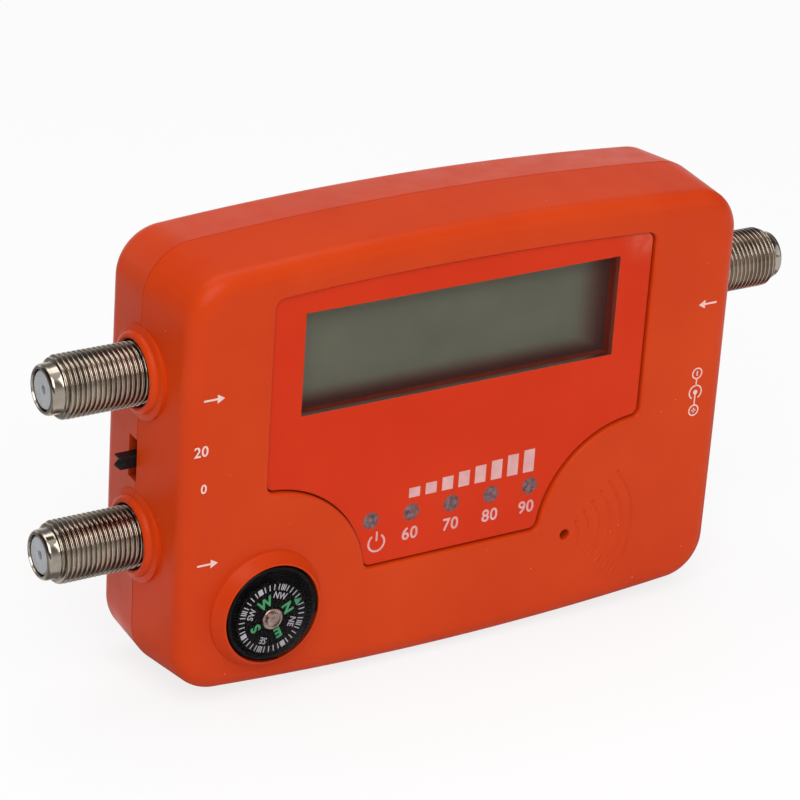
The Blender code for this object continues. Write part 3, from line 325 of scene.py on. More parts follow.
def fill(tree, node, inputs):
    """Sets a node's inputs. Each value is a socket to link from, or else a constant."""
    for name, value in inputs.items():
        if isinstance(value, bpy.types.NodeSocket):
            tree.links.new(value, node.inputs[name])
        else:
            node.inputs[name].default_value = value


def add(tree, kind, inputs=None, **settings):
    """Adds a shader node, or another whose whole name is given, and returns its outputs."""
    node = tree.nodes.new(kind if "Node" in kind else f"ShaderNode{kind}")
    for name, value in settings.items():
        setattr(node, name, value)
    fill(tree, node, inputs or {})
    return node.outputs


def maths(tree, operation, first, second):
    return add(tree, "Math", {0: first, 1: second}, operation=operation)[0]


def times(tree, first, second):
    return maths(tree, "MULTIPLY", first, second)


def ranged(tree, value, first, last, low=0, high=1, kind="LINEAR"):
    """Maps a value between first and last to one between low and high."""
    inputs = {"Value": value, "From Min": first, "From Max": last, "To Min": low, "To Max": high}
    return add(tree, "MapRange", inputs, interpolation_type=kind)["Result"]


def fading(tree, value, start, end):
    """From 0 where a value is at its start to 1 at its end."""
    return ranged(tree, value, start, end, kind="SMOOTHSTEP")


def noise(tree, place, scale, detail=3.0):
    inputs = {"Vector": place, "Scale": scale, "Detail": detail, "Roughness": NOISE_ROUGHNESS}
    return add(tree, "TexNoise", inputs)["Fac"]


def uneven(tree, place, scale, values):
    """A value that drifts between two."""
    return ranged(tree, noise(tree, place, scale), *MIDDLE, *values)


def ramp(tree, factor, stops):
    """Colour ramp. Stops are (position, linear colour)."""
    made = tree.nodes.new("ShaderNodeValToRGB")
    elements = made.color_ramp.elements
    while len(elements) < len(stops):
        elements.new(0.5)
    for element, (position, colour) in zip(elements, stops):
        element.position = position
        element.color = (*colour, 1)
    tree.links.new(factor, made.inputs["Fac"])
    return made.outputs["Color"]


def mixed(tree, factor, base, colour):
    """The base colour with another over it, by a factor."""
    inputs = {"Factor": factor, "A": base, "B": (*colour, 1)}
    return add(tree, "Mix", inputs, data_type="RGBA")["Result"]


def object_space(tree, stretch=(1, 1, 1)):
    place = add(tree, "TexCoord")["Object"]
    return add(tree, "Mapping", {"Vector": place, "Scale": stretch})["Vector"]


def axes_of(tree, vector):
    return add(tree, "SeparateXYZ", {0: vector})


def specks(tree, base, place, scale, amount, colour):
    """Scattered dust: small round spots of another colour over the base colour."""
    cells = add(tree, "TexVoronoi", {"Vector": place, "Scale": scale})
    near = maths(tree, "LESS_THAN", cells["Distance"], amount)
    few = maths(tree, "GREATER_THAN", cells["Color"], SPECK_RARITY)
    return mixed(tree, times(tree, near, few), base, colour)


def smoothing():
    """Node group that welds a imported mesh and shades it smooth, except over sharp edges."""
    group = bpy.data.node_groups.new("weld_and_smooth", "GeometryNodeTree")
    for way in ("INPUT", "OUTPUT"):
        group.interface.new_socket("Geometry", in_out=way, socket_type="NodeSocketGeometry")
    angle = add(group, "GeometryNodeInputMeshEdgeAngle")["Unsigned Angle"]
    limit = {0: angle, 1: radians(SMOOTH_ANGLE)}
    sharp = add(group, "FunctionNodeCompare", limit, operation="GREATER_THAN")["Result"]
    mesh = add(group, "NodeGroupInput")[0]
    for kind, inputs, settings in (
        ("RemoveAttribute", {"Name": "custom_normal"}, {}),
        ("MergeByDistance", {"Distance": PACKED_WELD}, {}),
        ("SetShadeSmooth", {"Shade Smooth": True}, {"domain": "FACE"}),
        ("SetShadeSmooth", {"Shade Smooth": False, "Selection": sharp}, {"domain": "EDGE"}),
    ):
        mesh = add(group, f"GeometryNode{kind}", {"Geometry": mesh, **inputs}, **settings)[0]
    add(group, "NodeGroupOutput", {0: mesh})
    return group


def dressed(name, look):
    """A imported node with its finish, shaded smooth."""
    node = nodes[name]
    for slot in node.material_slots:
        slot.material = look
    node.modifiers.new("smooth", "NODES").node_group = weld_and_smooth
    return node


weld_and_smooth = smoothing()


def new_look(name):
    made = bpy.data.materials.new(f"{name}_look")
    made.use_nodes = True
    return made, made.node_tree


def finish(
    name, dark, light, roughness, metallic=0, cloud=60, grain=1800, relief=4e-6,
    stretch=(1, 1, 1), dust=None, specular=0.5, kept="",
):
    """A solid finish: two tones that drift, uneven gloss and a fine relief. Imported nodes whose
    names start with a word of kept stay in view with it."""
    made, tree = new_look(name)
    shader = tree.nodes["Principled BSDF"]
    place = object_space(tree, stretch)
    colour = ramp(tree, noise(tree, place, cloud), list(zip(MIDDLE, (srgb(dark), srgb(light)))))
    if dust:
        colour = specks(tree, colour, place, *dust)
    gloss = uneven(tree, place, cloud * 7, roughness)
    if relief:
        bumps = {"Distance": relief, "Height": noise(tree, place, grain, 2)}
        fill(tree, shader, {"Normal": add(tree, "Bump", bumps)["Normal"]})
    fill(tree, shader, {
        "Base Color": colour, "Roughness": gloss, "Metallic": metallic,
        "Specular IOR Level": specular,
    })
    for node in (name for name in nodes if name.startswith(tuple(kept.split()))):
        dressed(node, made).modifiers.new("flat_faces", "WEIGHTED_NORMAL").keep_sharp = True
    return made


def show_mix(tree, factor, first, second):
    """Makes a mix of two shaders the material's surface."""
    both = add(tree, "MixShader", {"Fac": factor, 1: first, 2: second})
    fill(tree, tree.nodes["Material Output"], {"Surface": both["Shader"]})


def pane(name, tints, ior, roughness, shine=0.8):
    """Thin clear plastic: tinted in unlike amounts, and glossier at a grazing view."""
    made, tree = new_look(name)
    tree.nodes.remove(tree.nodes["Principled BSDF"])
    place = object_space(tree)
    tint = ramp(tree, noise(tree, place, PANE_CLOUD), list(zip(MIDDLE, tints)))
    through = add(tree, "BsdfTransparent", {"Color": tint})
    gloss = uneven(tree, place, PANE_CLOUD * 4, roughness)
    inputs = {"Color": (shine, shine, shine, 1), "Roughness": gloss}
    mirror = add(tree, "BsdfGlossy", inputs)
    share = add(tree, "Fresnel", {"IOR": ior})
    show_mix(tree, share["Fac"], through["BSDF"], mirror["BSDF"])
    return made


def tinted_over(material, factor, code):
    """Mixes another colour over a finish's base colour, by a factor from its own nodes."""
    tree = material.node_tree
    shader = tree.nodes["Principled BSDF"]
    base = shader.inputs["Base Color"].links[0].from_socket
    fill(tree, shader, {"Base Color": mixed(tree, factor, base, srgb(code))})


def panel_with_painted_glare():
    """Clear panel printed behind, paler at its cut edge, partly a painted highlight, and with a
    painted glare of pale patches at one upper corner.
    """
    made = finish(
        "panel_print", "C62E0C", "CD3410", (0.14, 0.2), cloud=45, grain=900,
        relief=5e-7, dust=(380, 0.025, DUST), specular=0.09,
    )
    tree = made.node_tree
    # Paler where faces turn from the front: partly the clear edge's own look, partly a painted
    # highlight of light coming through it
    facing = axes_of(tree, add(tree, "TexCoord")["Normal"])
    tinted_over(made, fading(tree, facing["Y"], -0.97, -0.6), "D8604C")
    # Painted glare: pale pink patches near the panel's upper right corner, broken up by noise
    flat = object_space(tree, (1, 0, 1))
    corner = add(tree, "VectorMath", {0: flat, 1: GLARE_CORNER}, operation="DISTANCE")
    glare_patches = fading(tree, noise(tree, flat, 260), 0.25, 0.75)
    near = fading(tree, corner["Value"], *GLARE_REACH)
    tinted_over(made, times(tree, near, glare_patches), "D0624A")
    return made


def liquid_crystal():
    """Unlit display: grey-green, and brown where its right and lower edges lie in shade."""
    made = finish(
        "display_face", "9C9F8E", "A4A796", (0.3, 0.4), grain=1500, relief=0, specular=0.2,
        kept="display_glass",
    )
    tree = made.node_tree
    axes = axes_of(tree, object_space(tree))
    right, bottom = WINDOW[2], WINDOW[1] + MIDDLE_Z
    side = fading(tree, axes["X"], right - SHADED_SIDE, right)
    below = fading(tree, axes["Z"], bottom + SHADED_FOOT, bottom)
    tinted_over(made, maths(tree, "MAXIMUM", side, below), "7A4843")


DUST = srgb("E8B8A8")
shell_plastic = finish(
    "shell_plastic", "C2370A", "CC400F", (0.3, 0.4), cloud=35, grain=2600,
    relief=2e-6, dust=(420, 0.03, DUST), specular=0.11,
)
panel_print = panel_with_painted_glare()
ink = finish("ink", "D09A98", "DCACAA", (0.4, 0.55), cloud=500, grain=6000, specular=0.2)
shell_ink = finish(
    "shell_ink", "E2BDB4", "ECCCC4", (0.4, 0.55), cloud=500, grain=6000, specular=0.2,
)
window_pane = pane("window_pane", ((0.76, 0.755, 0.74), (0.79, 0.785, 0.77)), 1.15, (0.05, 0.1))
dot_print = finish(
    "dot_print", "442C30", "8C6E70", (0.25, 0.4), cloud=1500, relief=5e-7, specular=0.15,
)
halo_print = finish("halo_print", "A83A2C", "B8483A", (0.2, 0.3), cloud=900, relief=0, specular=0.1)
dome_clear = pane(
    "dome_clear", ((0.93, 0.94, 0.95), (0.97, 0.97, 0.98)), 1.18, (0.03, 0.07), shine=0.28,
)
finish("light_guide", "D8D8D0", "E6E6DE", (0.35, 0.45), kept="display_backlight")
finish("holder_plastic", "262424", "2E2C2C", (0.45, 0.6), kept="display_holder")
finish(
    "contact_rubber", "3A3A3C", "46464A", (0.6, 0.75), stretch=(12, 1, 1),
    kept="display_contact_strip",
)
finish("board", "1C5A34", "24683E", (0.35, 0.5), cloud=300, kept="main_board")
finish("led", "5A4A46", "B09890", (0.15, 0.35), cloud=900, grain=1500, kept="power_led level_")
black_plastic = finish(
    "black_plastic", "120E0F", "1A1617", (0.3, 0.42), grain=2500, relief=2e-6, specular=0.15,
    kept="buzzer power_socket_body",
)
black_gloss = finish("black_gloss", "0C090A", "141112", (0.1, 0.16), relief=0, specular=0.08)
card_black = finish("card", "120E0F", "191516", (0.5, 0.65), cloud=300, relief=0, specular=0)
card_white = finish("card_white", "C8C3C6", "DAD6D8", (0.4, 0.5), cloud=500, relief=0)
card_green = finish("card_green", "34A05A", "52BC78", (0.4, 0.5), cloud=500, relief=0)
nickel = finish(
    "nickel", "8E8478", "B0A699", (0.11, 0.18), 1, cloud=260, grain=2400, relief=8e-7,
    kept="compass_needle power_socket_pin power_socket_spring",
)
finish(
    "steel", "8A8A8C", "9C9C9E", (0.28, 0.42), 1, cloud=300,
    kept="case_screw board_screw switch_can crystal",
)
finish(
    "gold", "B08440", "C89C58", (0.22, 0.35), 1, cloud=300,
    kept="satellite_contact antenna_contact receiver_contact",
)
finish("tinned", "A8A9A6", "B8B9B6", (0.25, 0.4), 1, cloud=200, kept="tuner_shield")
finish("magnet", "5C5C60", "6C6C70", (0.3, 0.45), 1, cloud=300, kept="compass_magnet")
cap_metal = finish("cap", "8E7468", "BCA498", (0.2, 0.3), 1, cloud=900, grain=3000, relief=5e-7)
insulator = finish("insulator", "A6A9AC", "B2B5B8", (0.35, 0.5), cloud=400)
finish(
    "resin", "1E1E20", "28282A", (0.5, 0.65), cloud=300,
    kept="switch_base controller_chip voltage_regulator",
)
finish(
    "sleeve", "141C34", "1C2440", (0.25, 0.35), cloud=300, kept="input_capacitor output_capacitor",
)
finish("ferrite", "303030", "3C3C3C", (0.55, 0.7), cloud=300, kept="power_coil")
liquid_crystal()


# Objects and meshes

def linked(name, data):
    """A new object in the scene."""
    obj = bpy.data.objects.new(name, data)
    bpy.context.scene.collection.objects.link(obj)
    return obj


def mesh_of(shape, name="loose"):
    """The mesh of a bmesh, facing outward."""
    mesh = bpy.data.meshes.new(name)
    bmesh.ops.recalc_face_normals(shape, faces=shape.faces)
    shape.to_mesh(mesh)
    shape.free()
    return mesh


def evaluated(obj):
    """The mesh that an object shows."""
    bpy.context.view_layer.update()
    graph = bpy.context.evaluated_depsgraph_get()
    return bpy.data.meshes.new_from_object(obj.evaluated_get(graph))


def piece(name, shape, look, replaces=None, body="case", smooth=SMOOTH_ANGLE):
    """A piece of a mesh or bmesh drawn in the case's frame."""
    mesh = mesh_of(shape, name) if isinstance(shape, bmesh.types.BMesh) else shape
    mesh.materials.clear()
    mesh.materials.append(look)
    mesh.shade_smooth()
    mesh.set_sharp_from_angle(angle=radians(smooth))
    obj = linked(name, mesh)
    obj.location = ORIGIN
    obj.modifiers.new("flat_faces", "WEIGHTED_NORMAL").keep_sharp = True
    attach(obj, body)
    if replaces:
        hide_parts(replaces)


def gather(shapes):
    """One bmesh of several."""
    whole = bmesh.new()
    for shape in shapes:
        mesh = mesh_of(shape)
        whole.from_mesh(mesh)
        bpy.data.meshes.remove(mesh)
    return whole


def worked(shape, steps):
    """The mesh of a bmesh after joining or cutting others, given as (what is done, bmeshes). Each
    result is welded, so that the next step meets a closed shape."""
    base = linked("loose", mesh_of(shape))
    for operation, other in ((what, other) for what, others in steps for other in others):
        tool = linked("loose", mesh_of(other))
        step = base.modifiers.new("step", "BOOLEAN")
        step.operation = operation
        step.object = tool
        mesh = evaluated(base)
        base.modifiers.clear()
        bpy.data.objects.remove(tool)
        welded = bmesh.new()
        welded.from_mesh(mesh)
        bmesh.ops.remove_doubles(welded, verts=welded.verts, dist=WELD)
        welded.to_mesh(mesh)
        welded.free()
        base.data = mesh
    bpy.data.objects.remove(base)
    return mesh


# Outlines

def polar(centre, radius, angle):
    """The point (x, z) at a distance and angle from a centre."""
    return centre[0] + radius * cos(angle), centre[1] + radius * sin(angle)


def arc(centre, radius, start, end, steps):
    """Points (x, z) on an arc, both ends included."""
    return [polar(centre, radius, start + (end - start) * i / steps) for i in range(steps + 1)]


def angle_from(centre, point):
    return atan2(point[1] - centre[1], point[0] - centre[0])


def arch_radius(span, rise):
    return ((span / 2) ** 2 + rise ** 2) / (2 * rise)


def quarter_round(radius, steps=10):
    """(how far in, how deep) along a quarter round, from the face to the side."""
    for i in range(steps + 1):
        angle = pi / 2 * i / steps
        yield radius * (1 - sin(angle)), radius * (1 - cos(angle))


def rim(radius, height, rounding, steps, side=-1):
    """(radius, height) points of a rounded edge inside its radius, or outside it at side 1."""
    edge = quarter_round(rounding, steps)
    return [(radius + side * inward, height - down) for inward, down in edge]


def case_outline(inset):
    """The case's outline at its seam, moved inward: an arched rectangle with round corners."""
    top_radius, side_radius = arch_radius(WIDTH, TOP_RISE), arch_radius(HEIGHT, SIDE_RISE)
    top_centre = Vector((0, HEIGHT / 2 - top_radius))
    side_centre = Vector((WIDTH / 2 - side_radius, 0))
    near, far = top_radius - CORNER, side_radius - CORNER
    apart = side_centre - top_centre
    along = (near ** 2 - far ** 2 + apart.length ** 2) / (2 * apart.length)
    aside = sqrt(near ** 2 - along ** 2)
    unit = apart.normalized()
    corner = top_centre + unit * along + Vector((unit.y, -unit.x)) * aside
    top_end, side_start = angle_from(top_centre, corner), angle_from(side_centre, corner)
    quarter = arc(top_centre, top_radius - inset, pi / 2, top_end, 10)
    quarter += arc(corner, CORNER - inset, top_end, side_start, 18)[1:]
    quarter += arc(side_centre, side_radius - inset, side_start, 0, 4)[1:]
    right = quarter + [(x, -z) for x, z in reversed(quarter[:-1])]
    return right + [(-x, z) for x, z in reversed(right[1:-1])]


def panel_outline(grow):
    """The panel's recess, grown outward, with its two round shoulders."""
    corner, shoulder = RECESS_CORNER + grow, SHOULDER - grow
    arch = arch_radius(WIDTH, TOP_RISE)
    top_centre = (0, RECESS_TOP - arch)
    corner_x = RECESS_HALF - RECESS_CORNER
    upper = (corner_x, top_centre[1] + sqrt((arch - RECESS_CORNER) ** 2 - corner_x ** 2))
    pivot = (RECESS_HALF, SHOULDER_Z)
    apart = SHOULDER + RECESS_CORNER
    lower = (corner_x, SHOULDER_Z + sqrt(apart ** 2 - RECESS_CORNER ** 2))
    foot_z = RECESS_BOTTOM + RECESS_CORNER
    foot = (RECESS_HALF - sqrt(apart ** 2 - (foot_z - SHOULDER_Z) ** 2), foot_z)
    half = arc(top_centre, arch + grow, pi / 2, angle_from(top_centre, upper), 12)
    half += arc(upper, corner, angle_from(top_centre, upper), 0, 8)[1:]
    half += arc(lower, corner, 0, angle_from(lower, pivot), 8)
    half += arc(pivot, shoulder, angle_from(pivot, lower), angle_from(pivot, foot), 32)[1:]
    half += arc(foot, corner, angle_from(foot, pivot), -pi / 2, 8)[1:]
    left = [(-x, z) for x, z in reversed(half[1:])]
    return [(x + PANEL_SHIFT, z) for x, z in half + left]


def circle(centre, radius, steps=32):
    return arc(centre, radius, 0, tau, steps)[:-1]


def rectangle(left, bottom, right, top):
    return [(left, bottom), (right, bottom), (right, top), (left, top)]


def grown(span, margin):
    left, bottom, right, top = span
    return rectangle(left - margin, bottom - margin, right + margin, top + margin)


def thick_arc(centre, radius, width, start=0, end=tau, steps=24):
    """Outline of a bent bar."""
    outer = arc(centre, radius + width / 2, start, end, steps)
    return outer + arc(centre, radius - width / 2, end, start, steps)


def bar(first, second, width):
    """Outline of a straight bar between two points."""
    a, b = Vector(first), Vector(second)
    along = (b - a).normalized()
    side = Vector((-along.y, along.x)) * width / 2
    return [tuple(point) for point in (a - side, b - side, b + side, a + side)]


# Solids

def loft(rings, ends="flat"):
    """A bmesh between rings of points. A ring of one point is a tip. Its ends are flat, joined to
    each other or open."""
    shape = bmesh.new()
    loops = [[shape.verts.new(point) for point in ring] for ring in rings]
    steps = max(len(loop) for loop in loops)
    for near, far in zip(loops, loops[1:] + loops[:1] if ends == "joined" else loops[1:]):
        for i in range(steps):
            j = (i + 1) % steps
            corners = near[i % len(near)], near[j % len(near)], far[j % len(far)], far[i % len(far)]
            corners = list(dict.fromkeys(corners))
            if len(corners) > 2:
                shape.faces.new(corners)
    if ends == "flat":
        shape.faces.new(loops[0])
        shape.faces.new(loops[-1])
    return shape


def at_depth(outline, depth):
    return [(x, depth, z) for x, z in outline]


def case_ring(inset, depth):
    return at_depth(case_outline(inset), depth)


def slab(outline, near, far):
    return loft([at_depth(outline, near), at_depth(outline, far)])


def ring_slab(outer, inner, near, far):
    """A flat ring between two outlines of equal count."""
    places = (outer, near), (outer, far), (inner, far), (inner, near)
    return loft([at_depth(outline, depth) for outline, depth in places], "joined")


def turned(profile, way, steps=ROUND_STEPS, offset=0.0):
    """A closed turned shape from (radius, height) points, down its outer side. Its height runs
    along the way. An offset, in steps, keeps a cutter's edges off those of what it cuts."""
    axis = Vector(way)
    side = axis.orthogonal().normalized()
    other = axis.cross(side)

    def point(radius, height, i):
        angle = tau * (i + offset) / steps
        return axis * height + (side * cos(angle) + other * sin(angle)) * radius

    rings = [[point(*at, i) for i in range(steps if at[0] else 1)] for at in profile]
    return loft(rings, "joined" if profile[0][0] else "open")


def moved(shape, x, depth, z):
    bmesh.ops.translate(shape, verts=shape.verts, vec=(x, depth, z))
    return shape


def drum(radius, place, way, length, steps=64):
    """A plain cylinder from a place, along the way it points."""
    profile = [(0, length), (radius, length), (radius, 0), (0, 0)]
    return moved(turned(profile, way, steps, STAGGER), *place)


def drums(radius, places, start, end, steps=POST_STEPS):
    """Cylinders at these places (x, z), between two depths."""
    return [drum(radius, (x, start, z), BACK, end - start, steps) for x, z in places]


def hole_cutter(radius, mouth, face, floor, way, steps):
    """Cutter for a round hole with a rounded mouth, from above its face to its floor."""
    first, *flare = rim(radius, face, mouth, 6, side=1)
    top = face + OVERRUN
    profile = [(0, top), (first[0] + mouth / 2, top), *flare, (radius, floor), (0, floor)]
    return turned(profile, way, steps, STAGGER)


def arched_wire(centre, radius, thick, depth, reach, steps=28, sides=16):
    """A round wire bent about a centre, up to this angle above and below its right."""
    def point(angle, turn):
        x, z = polar(centre, radius + thick * cos(turn), angle)
        return x, depth + thick * sin(turn), z

    angles = [-reach + 2 * reach * i / steps for i in range(steps + 1)]
    return loft([[point(angle, tau * j / sides) for j in range(sides)] for angle in angles])


# Case

def bosses(near, far):
    """Round bosses about the sockets' holes, between two depths."""
    crest = rim(BOSS_RIM, BOSS_HEIGHT, BOSS_ROUND, 8)
    foot = [(BOSS_RADIUS, 0), (BOSS_RADIUS, -BOSS_ROOT), (0, -BOSS_ROOT)]
    made = []
    for _, way, z in SOCKETS:
        boss = turned([(0, BOSS_HEIGHT), *crest, *foot], (way, 0, 0))
        moved(boss, way * WIDTH / 2, SEAM, z)
        for depth, side in ((near, -1), (far, 1)):
            whole = [*boss.verts, *boss.edges, *boss.faces]
            cut = bmesh.ops.bisect_plane(
                boss, geom=whole, dist=1e-7, plane_co=(0, depth, 0), plane_no=(0, side, 0),
                clear_outer=True,
            )
            edges = [e for e in cut["geom_cut"] if isinstance(e, bmesh.types.BMEdge)]
            if edges:
                bmesh.ops.edgeloop_fill(boss, edges=edges)
        made.append(boss)
    return made


def socket_holes():
    made = []
    for _, way, z in SOCKETS:
        floor = -BOSS_ROOT - SIDE_WALL
        hole = hole_cutter(BOSS_HOLE, BOSS_MOUTH, BOSS_HEIGHT, floor, (way, 0, 0), 92)
        made.append(moved(hole, way * WIDTH / 2, SEAM, z))
    return made


def case_half(face, draft, rounding, wall, past):
    """One half, leaning from the seam to its round face, the cutter for its hollow, which reaches
    past the seam, and the depth where it ends."""
    way = copysign(1, SEAM - face)
    end = SEAM - way * SEAM_GAP / 2

    def lean(depth):
        return draft * way * (SEAM - depth) / (abs(SEAM - face) - rounding)

    edge, middle = end - way * SEAM_SOFT, end - way * SEAM_SOFT * EDGE_SHARE
    rings = [
        *(case_ring(draft + inward, face + way * deep) for inward, deep in quarter_round(rounding)),
        case_ring(lean(edge), edge),
        case_ring(SEAM_SOFT * EDGE_SHARE, middle),
        case_ring(SEAM_SOFT, end),
    ]
    floor = face + way * wall
    shoulder = floor + way * INNER_EDGE
    hollow = [
        case_ring(draft + SIDE_WALL + INNER_EDGE, floor),
        case_ring(lean(shoulder) + SIDE_WALL, shoulder),
        case_ring(SIDE_WALL, SEAM),
        case_ring(SIDE_WALL, SEAM + way * past),
    ]
    return loft(rings), loft(hollow), end


def panel_recess():
    """Cutter for the panel's recess, with a softened mouth."""
    rings = [at_depth(panel_outline(RECESS_SOFT * RECESS_FLARE), -RECESS_SOFT)]
    edge = list(quarter_round(RECESS_SOFT, 8))[1:]
    rings += [at_depth(panel_outline(inward), depth) for inward, depth in edge]
    return loft([*rings, at_depth(panel_outline(0), RECESS_DEPTH)])


def front_case():
    """Front half: recess with its tray, compass ring, sound arcs, screw posts and rebate."""
    outside, hollow, end = case_half(0, FRONT_DRAFT, FRONT_ROUND, FRONT_WALL, OVERRUN)
    rebate = ring_slab(
        case_outline(SIDE_WALL - LIP_THICK - GAP), case_outline(SIDE_WALL + BITE),
        SEAM - LIP_HEIGHT - GAP, SEAM + OVERRUN,
    )
    jack = drum(JACK_HOLE, (INSIDE, JACK_DEPTH, JACK_Z), RIGHT, WIDTH / 2 + OVERRUN - INSIDE)
    start = FRONT_WALL - BITE
    tray = slab(panel_outline(TRAY_WALL), start, TRAY_BACK)
    posts = drums(POST_RADIUS, SCREWS, start, end)
    near, far = RECESS_DEPTH - OVERRUN, TRAY_BACK + OVERRUN
    window = slab(grown(WINDOW, WINDOW_MARGIN), near, far)
    light_holes = drums(DOT_RADIUS, LED_PLACES, near, far)
    start = SEAM - WELL_DEPTH - GAP
    pilots = drums(SCREW_PILOT, SCREWS, start, start + WELL_DEPTH + OVERRUN, PILOT_STEPS)
    sound_hole = front_hole(BUZZER, SOUND_HOLE, SOUND_MOUTH, 0, POST_STEPS)
    bore = front_hole(COMPASS, RING_BORE, BORE_MOUTH, RING_HEIGHT, 112)
    mesh = worked(outside, [
        (CUT, [hollow]),
        (JOIN, bosses(SEAM - BOSS_RADIUS - OVERRUN, end)),
        (CUT, [rebate, *socket_holes(), jack]),
        (JOIN, [tray, glass_collar(), compass_ring(), *sound_waves(), *posts]),
        (CUT, [panel_recess(), window, *light_holes, sound_hole, bore, *pilots]),
    ])
    piece("front_case", mesh, shell_plastic, "front_shell")


def glass_collar():
    """Rim behind the tray, round the display glass."""
    low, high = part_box("display_glass")
    span = (low.x, low.z - MIDDLE_Z, high.x, high.z - MIDDLE_Z)
    near, far = TRAY_BACK - BITE, TRAY_BACK + COLLAR_DEPTH
    return ring_slab(grown(span, GAP + COLLAR_WALL), grown(span, GAP), near, far)


def rear_case():
    """Rear half: lip, screw tubes and wells, board bosses and the switch's slot."""
    past = LIP_HEIGHT + OVERRUN
    outside, hollow, start = case_half(DEPTH, REAR_DRAFT, REAR_ROUND, REAR_WALL, past)
    lip = slab(case_outline(SIDE_WALL - LIP_THICK), SEAM - LIP_HEIGHT, start + BITE)
    end = DEPTH - REAR_WALL + BITE
    board = [centre_of(f"board_screw_{i}") for i in (1, 2, 3, 4)]
    tubes = drums(TUBE_RADIUS, SCREWS, start, end)
    tubes += drums(BOARD_BOSS_RADIUS, board, BOARD_BACK + GAP, end)
    slot = slab(
        rectangle(-WIDTH / 2 - OVERRUN, SWITCH_Z - SLOT_BELOW, -INSIDE, SWITCH_Z + SLOT_ABOVE),
        SEAM - LIP_HEIGHT - OVERRUN, SEAM + SLOT_DEPTH,
    )
    back = DEPTH - SEAM
    top = back + OVERRUN
    profile = [
        (0, top), (WELL_RADIUS + WELL_FLARE * WELL_MOUTH, top),
        *((WELL_RADIUS + WELL_FLARE * out, back - WELL_FLARE * down) for out, down in WELL_CURVE),
        (WELL_RADIUS, back - WELL_DEPTH), (SCREW_PILOT, back - WELL_DEPTH),
        (SCREW_PILOT, -OVERRUN), (0, -OVERRUN),
    ]
    wells = [moved(turned(profile, BACK, 60, STAGGER), x, SEAM, z) for x, z in SCREWS]
    pilots = drums(BOARD_PILOT, board, BOARD_BACK, BOARD_BACK + BOARD_SCREW_LENGTH, PILOT_STEPS)
    mesh = worked(outside, [
        (JOIN, [lip]),
        (CUT, [hollow]),
        (JOIN, [*bosses(start, SEAM + BOSS_RADIUS + OVERRUN), *tubes]),
        (CUT, [*socket_holes(), slot, *wells, *pilots]),
    ])
    piece("rear_case", mesh, shell_plastic, "rear_shell")


def on_compass(profile, way=FRONT, steps=ROUND_STEPS, drop=0):
    """A turned shape on the compass's axis, or below it."""
    return moved(turned(profile, way, steps), COMPASS[0], 0, COMPASS[1] - drop)


def compass_ring():
    """Low cone about the compass, with a rounded rim."""
    foot = [(RING_BASE + out, height) for out, height in RING_FOOT]
    floor = BITE - FRONT_WALL
    crest = rim(RING_RIM, RING_HEIGHT, RING_ROUND, 6)
    return on_compass([(0, RING_HEIGHT), *crest, *foot, (RING_BASE, floor), (0, floor)], steps=120)


def front_hole(centre, radius, mouth, height, steps):
    """Cutter for a hole through the case's front, with a softened mouth at this height."""
    hole = hole_cutter(radius, mouth, height, -FRONT_WALL - OVERRUN, FRONT, steps)
    return moved(hole, centre[0], 0, centre[1])


def sound_waves():
    """Raised arcs that spread from the buzzer's hole."""
    radii = [WAVE_FIRST + i * WAVE_PITCH for i in range(WAVE_COUNT)]
    depth = WAVE_WIRE - WAVE_HEIGHT
    return [arched_wire(BUZZER, radius, WAVE_WIRE, depth, pi / 4) for radius in radii]


# Window panel and its clear parts

def window_panel():
    """Printed panel with a fine rounded edge, open for the display and the LEDs."""
    edge, shared = PANEL_EDGE, PANEL_EDGE * EDGE_SHARE
    rings = []
    for inset, depth in ((edge, 0), (shared, shared), (0, edge), (0, PANEL_BACK - PANEL_FRONT)):
        outline = [(x - PANEL_SHOVE, z + PANEL_SHOVE) for x, z in panel_outline(-PANEL_GAP - inset)]
        rings.append(at_depth(outline, PANEL_FRONT + depth))
    near, far = PANEL_FRONT - OVERRUN, PANEL_BACK + OVERRUN
    holes = [slab(rectangle(*WINDOW), near, far)]
    holes += [slab(circle(place, DOT_RADIUS), near, far) for place in LED_PLACES]
    mesh = worked(loft(rings), [(CUT, holes)])
    piece("printed_panel", mesh, panel_print, "window_panel")
    near = PANEL_FRONT + PANE_GAP
    shape = slab(grown(WINDOW, -PANE_GAP), near, PANEL_BACK)
    piece("display_pane", shape, window_pane)
    for i, place in enumerate(LED_PLACES):
        shape = slab(circle(place, DOT_RADIUS - PANE_GAP), near, PANEL_BACK)
        piece(f"led_pane_{i + 1}", shape, dot_print)


# Printed marks

def printed(name, outlines, depth, look, body="case"):
    """Flat ink: one thin slab for each outline, standing proud of the face at this depth."""
    shapes = [slab(outline, depth - INK, depth + INK) for outline in outlines]
    piece(name, gather(shapes), look, body=body)


def written(name, text, centre, height, depth, look, body="case", turn=0.0, bold=BOLD, wide=1.0):
    """Plain numbers or compass letters as flat ink, centred on (x, z)."""
    curve = bpy.data.curves.new(name, "FONT")
    curve.body = text
    curve.size = height / CAPITAL_SHARE
    curve.offset = bold * height
    curve.extrude = INK
    curve.resolution_u = 4
    curve.align_x = "CENTER"
    curve.space_character = LETTER_SPACE
    drawn = linked(name + "_text", curve)
    mesh = evaluated(drawn)
    bpy.data.objects.remove(drawn)
    xs, ys = ([v.co[axis] for v in mesh.vertices] for axis in (0, 1))
    to_centre = Matrix.Translation((-(min(xs) + max(xs)) / 2, -(min(ys) + max(ys)) / 2, 0))
    scale = height / (max(ys) - min(ys))
    sized = Matrix.Diagonal((scale * wide, scale, 1, 1))
    upright = Matrix.Rotation(pi / 2, 4, "X")
    turned_by = Matrix.Rotation(-turn, 4, "Y")
    place = Matrix.Translation((centre[0], depth, centre[1]))
    mesh.transform(place @ turned_by @ upright @ sized @ to_centre)
    piece(name, mesh, look, body=body)


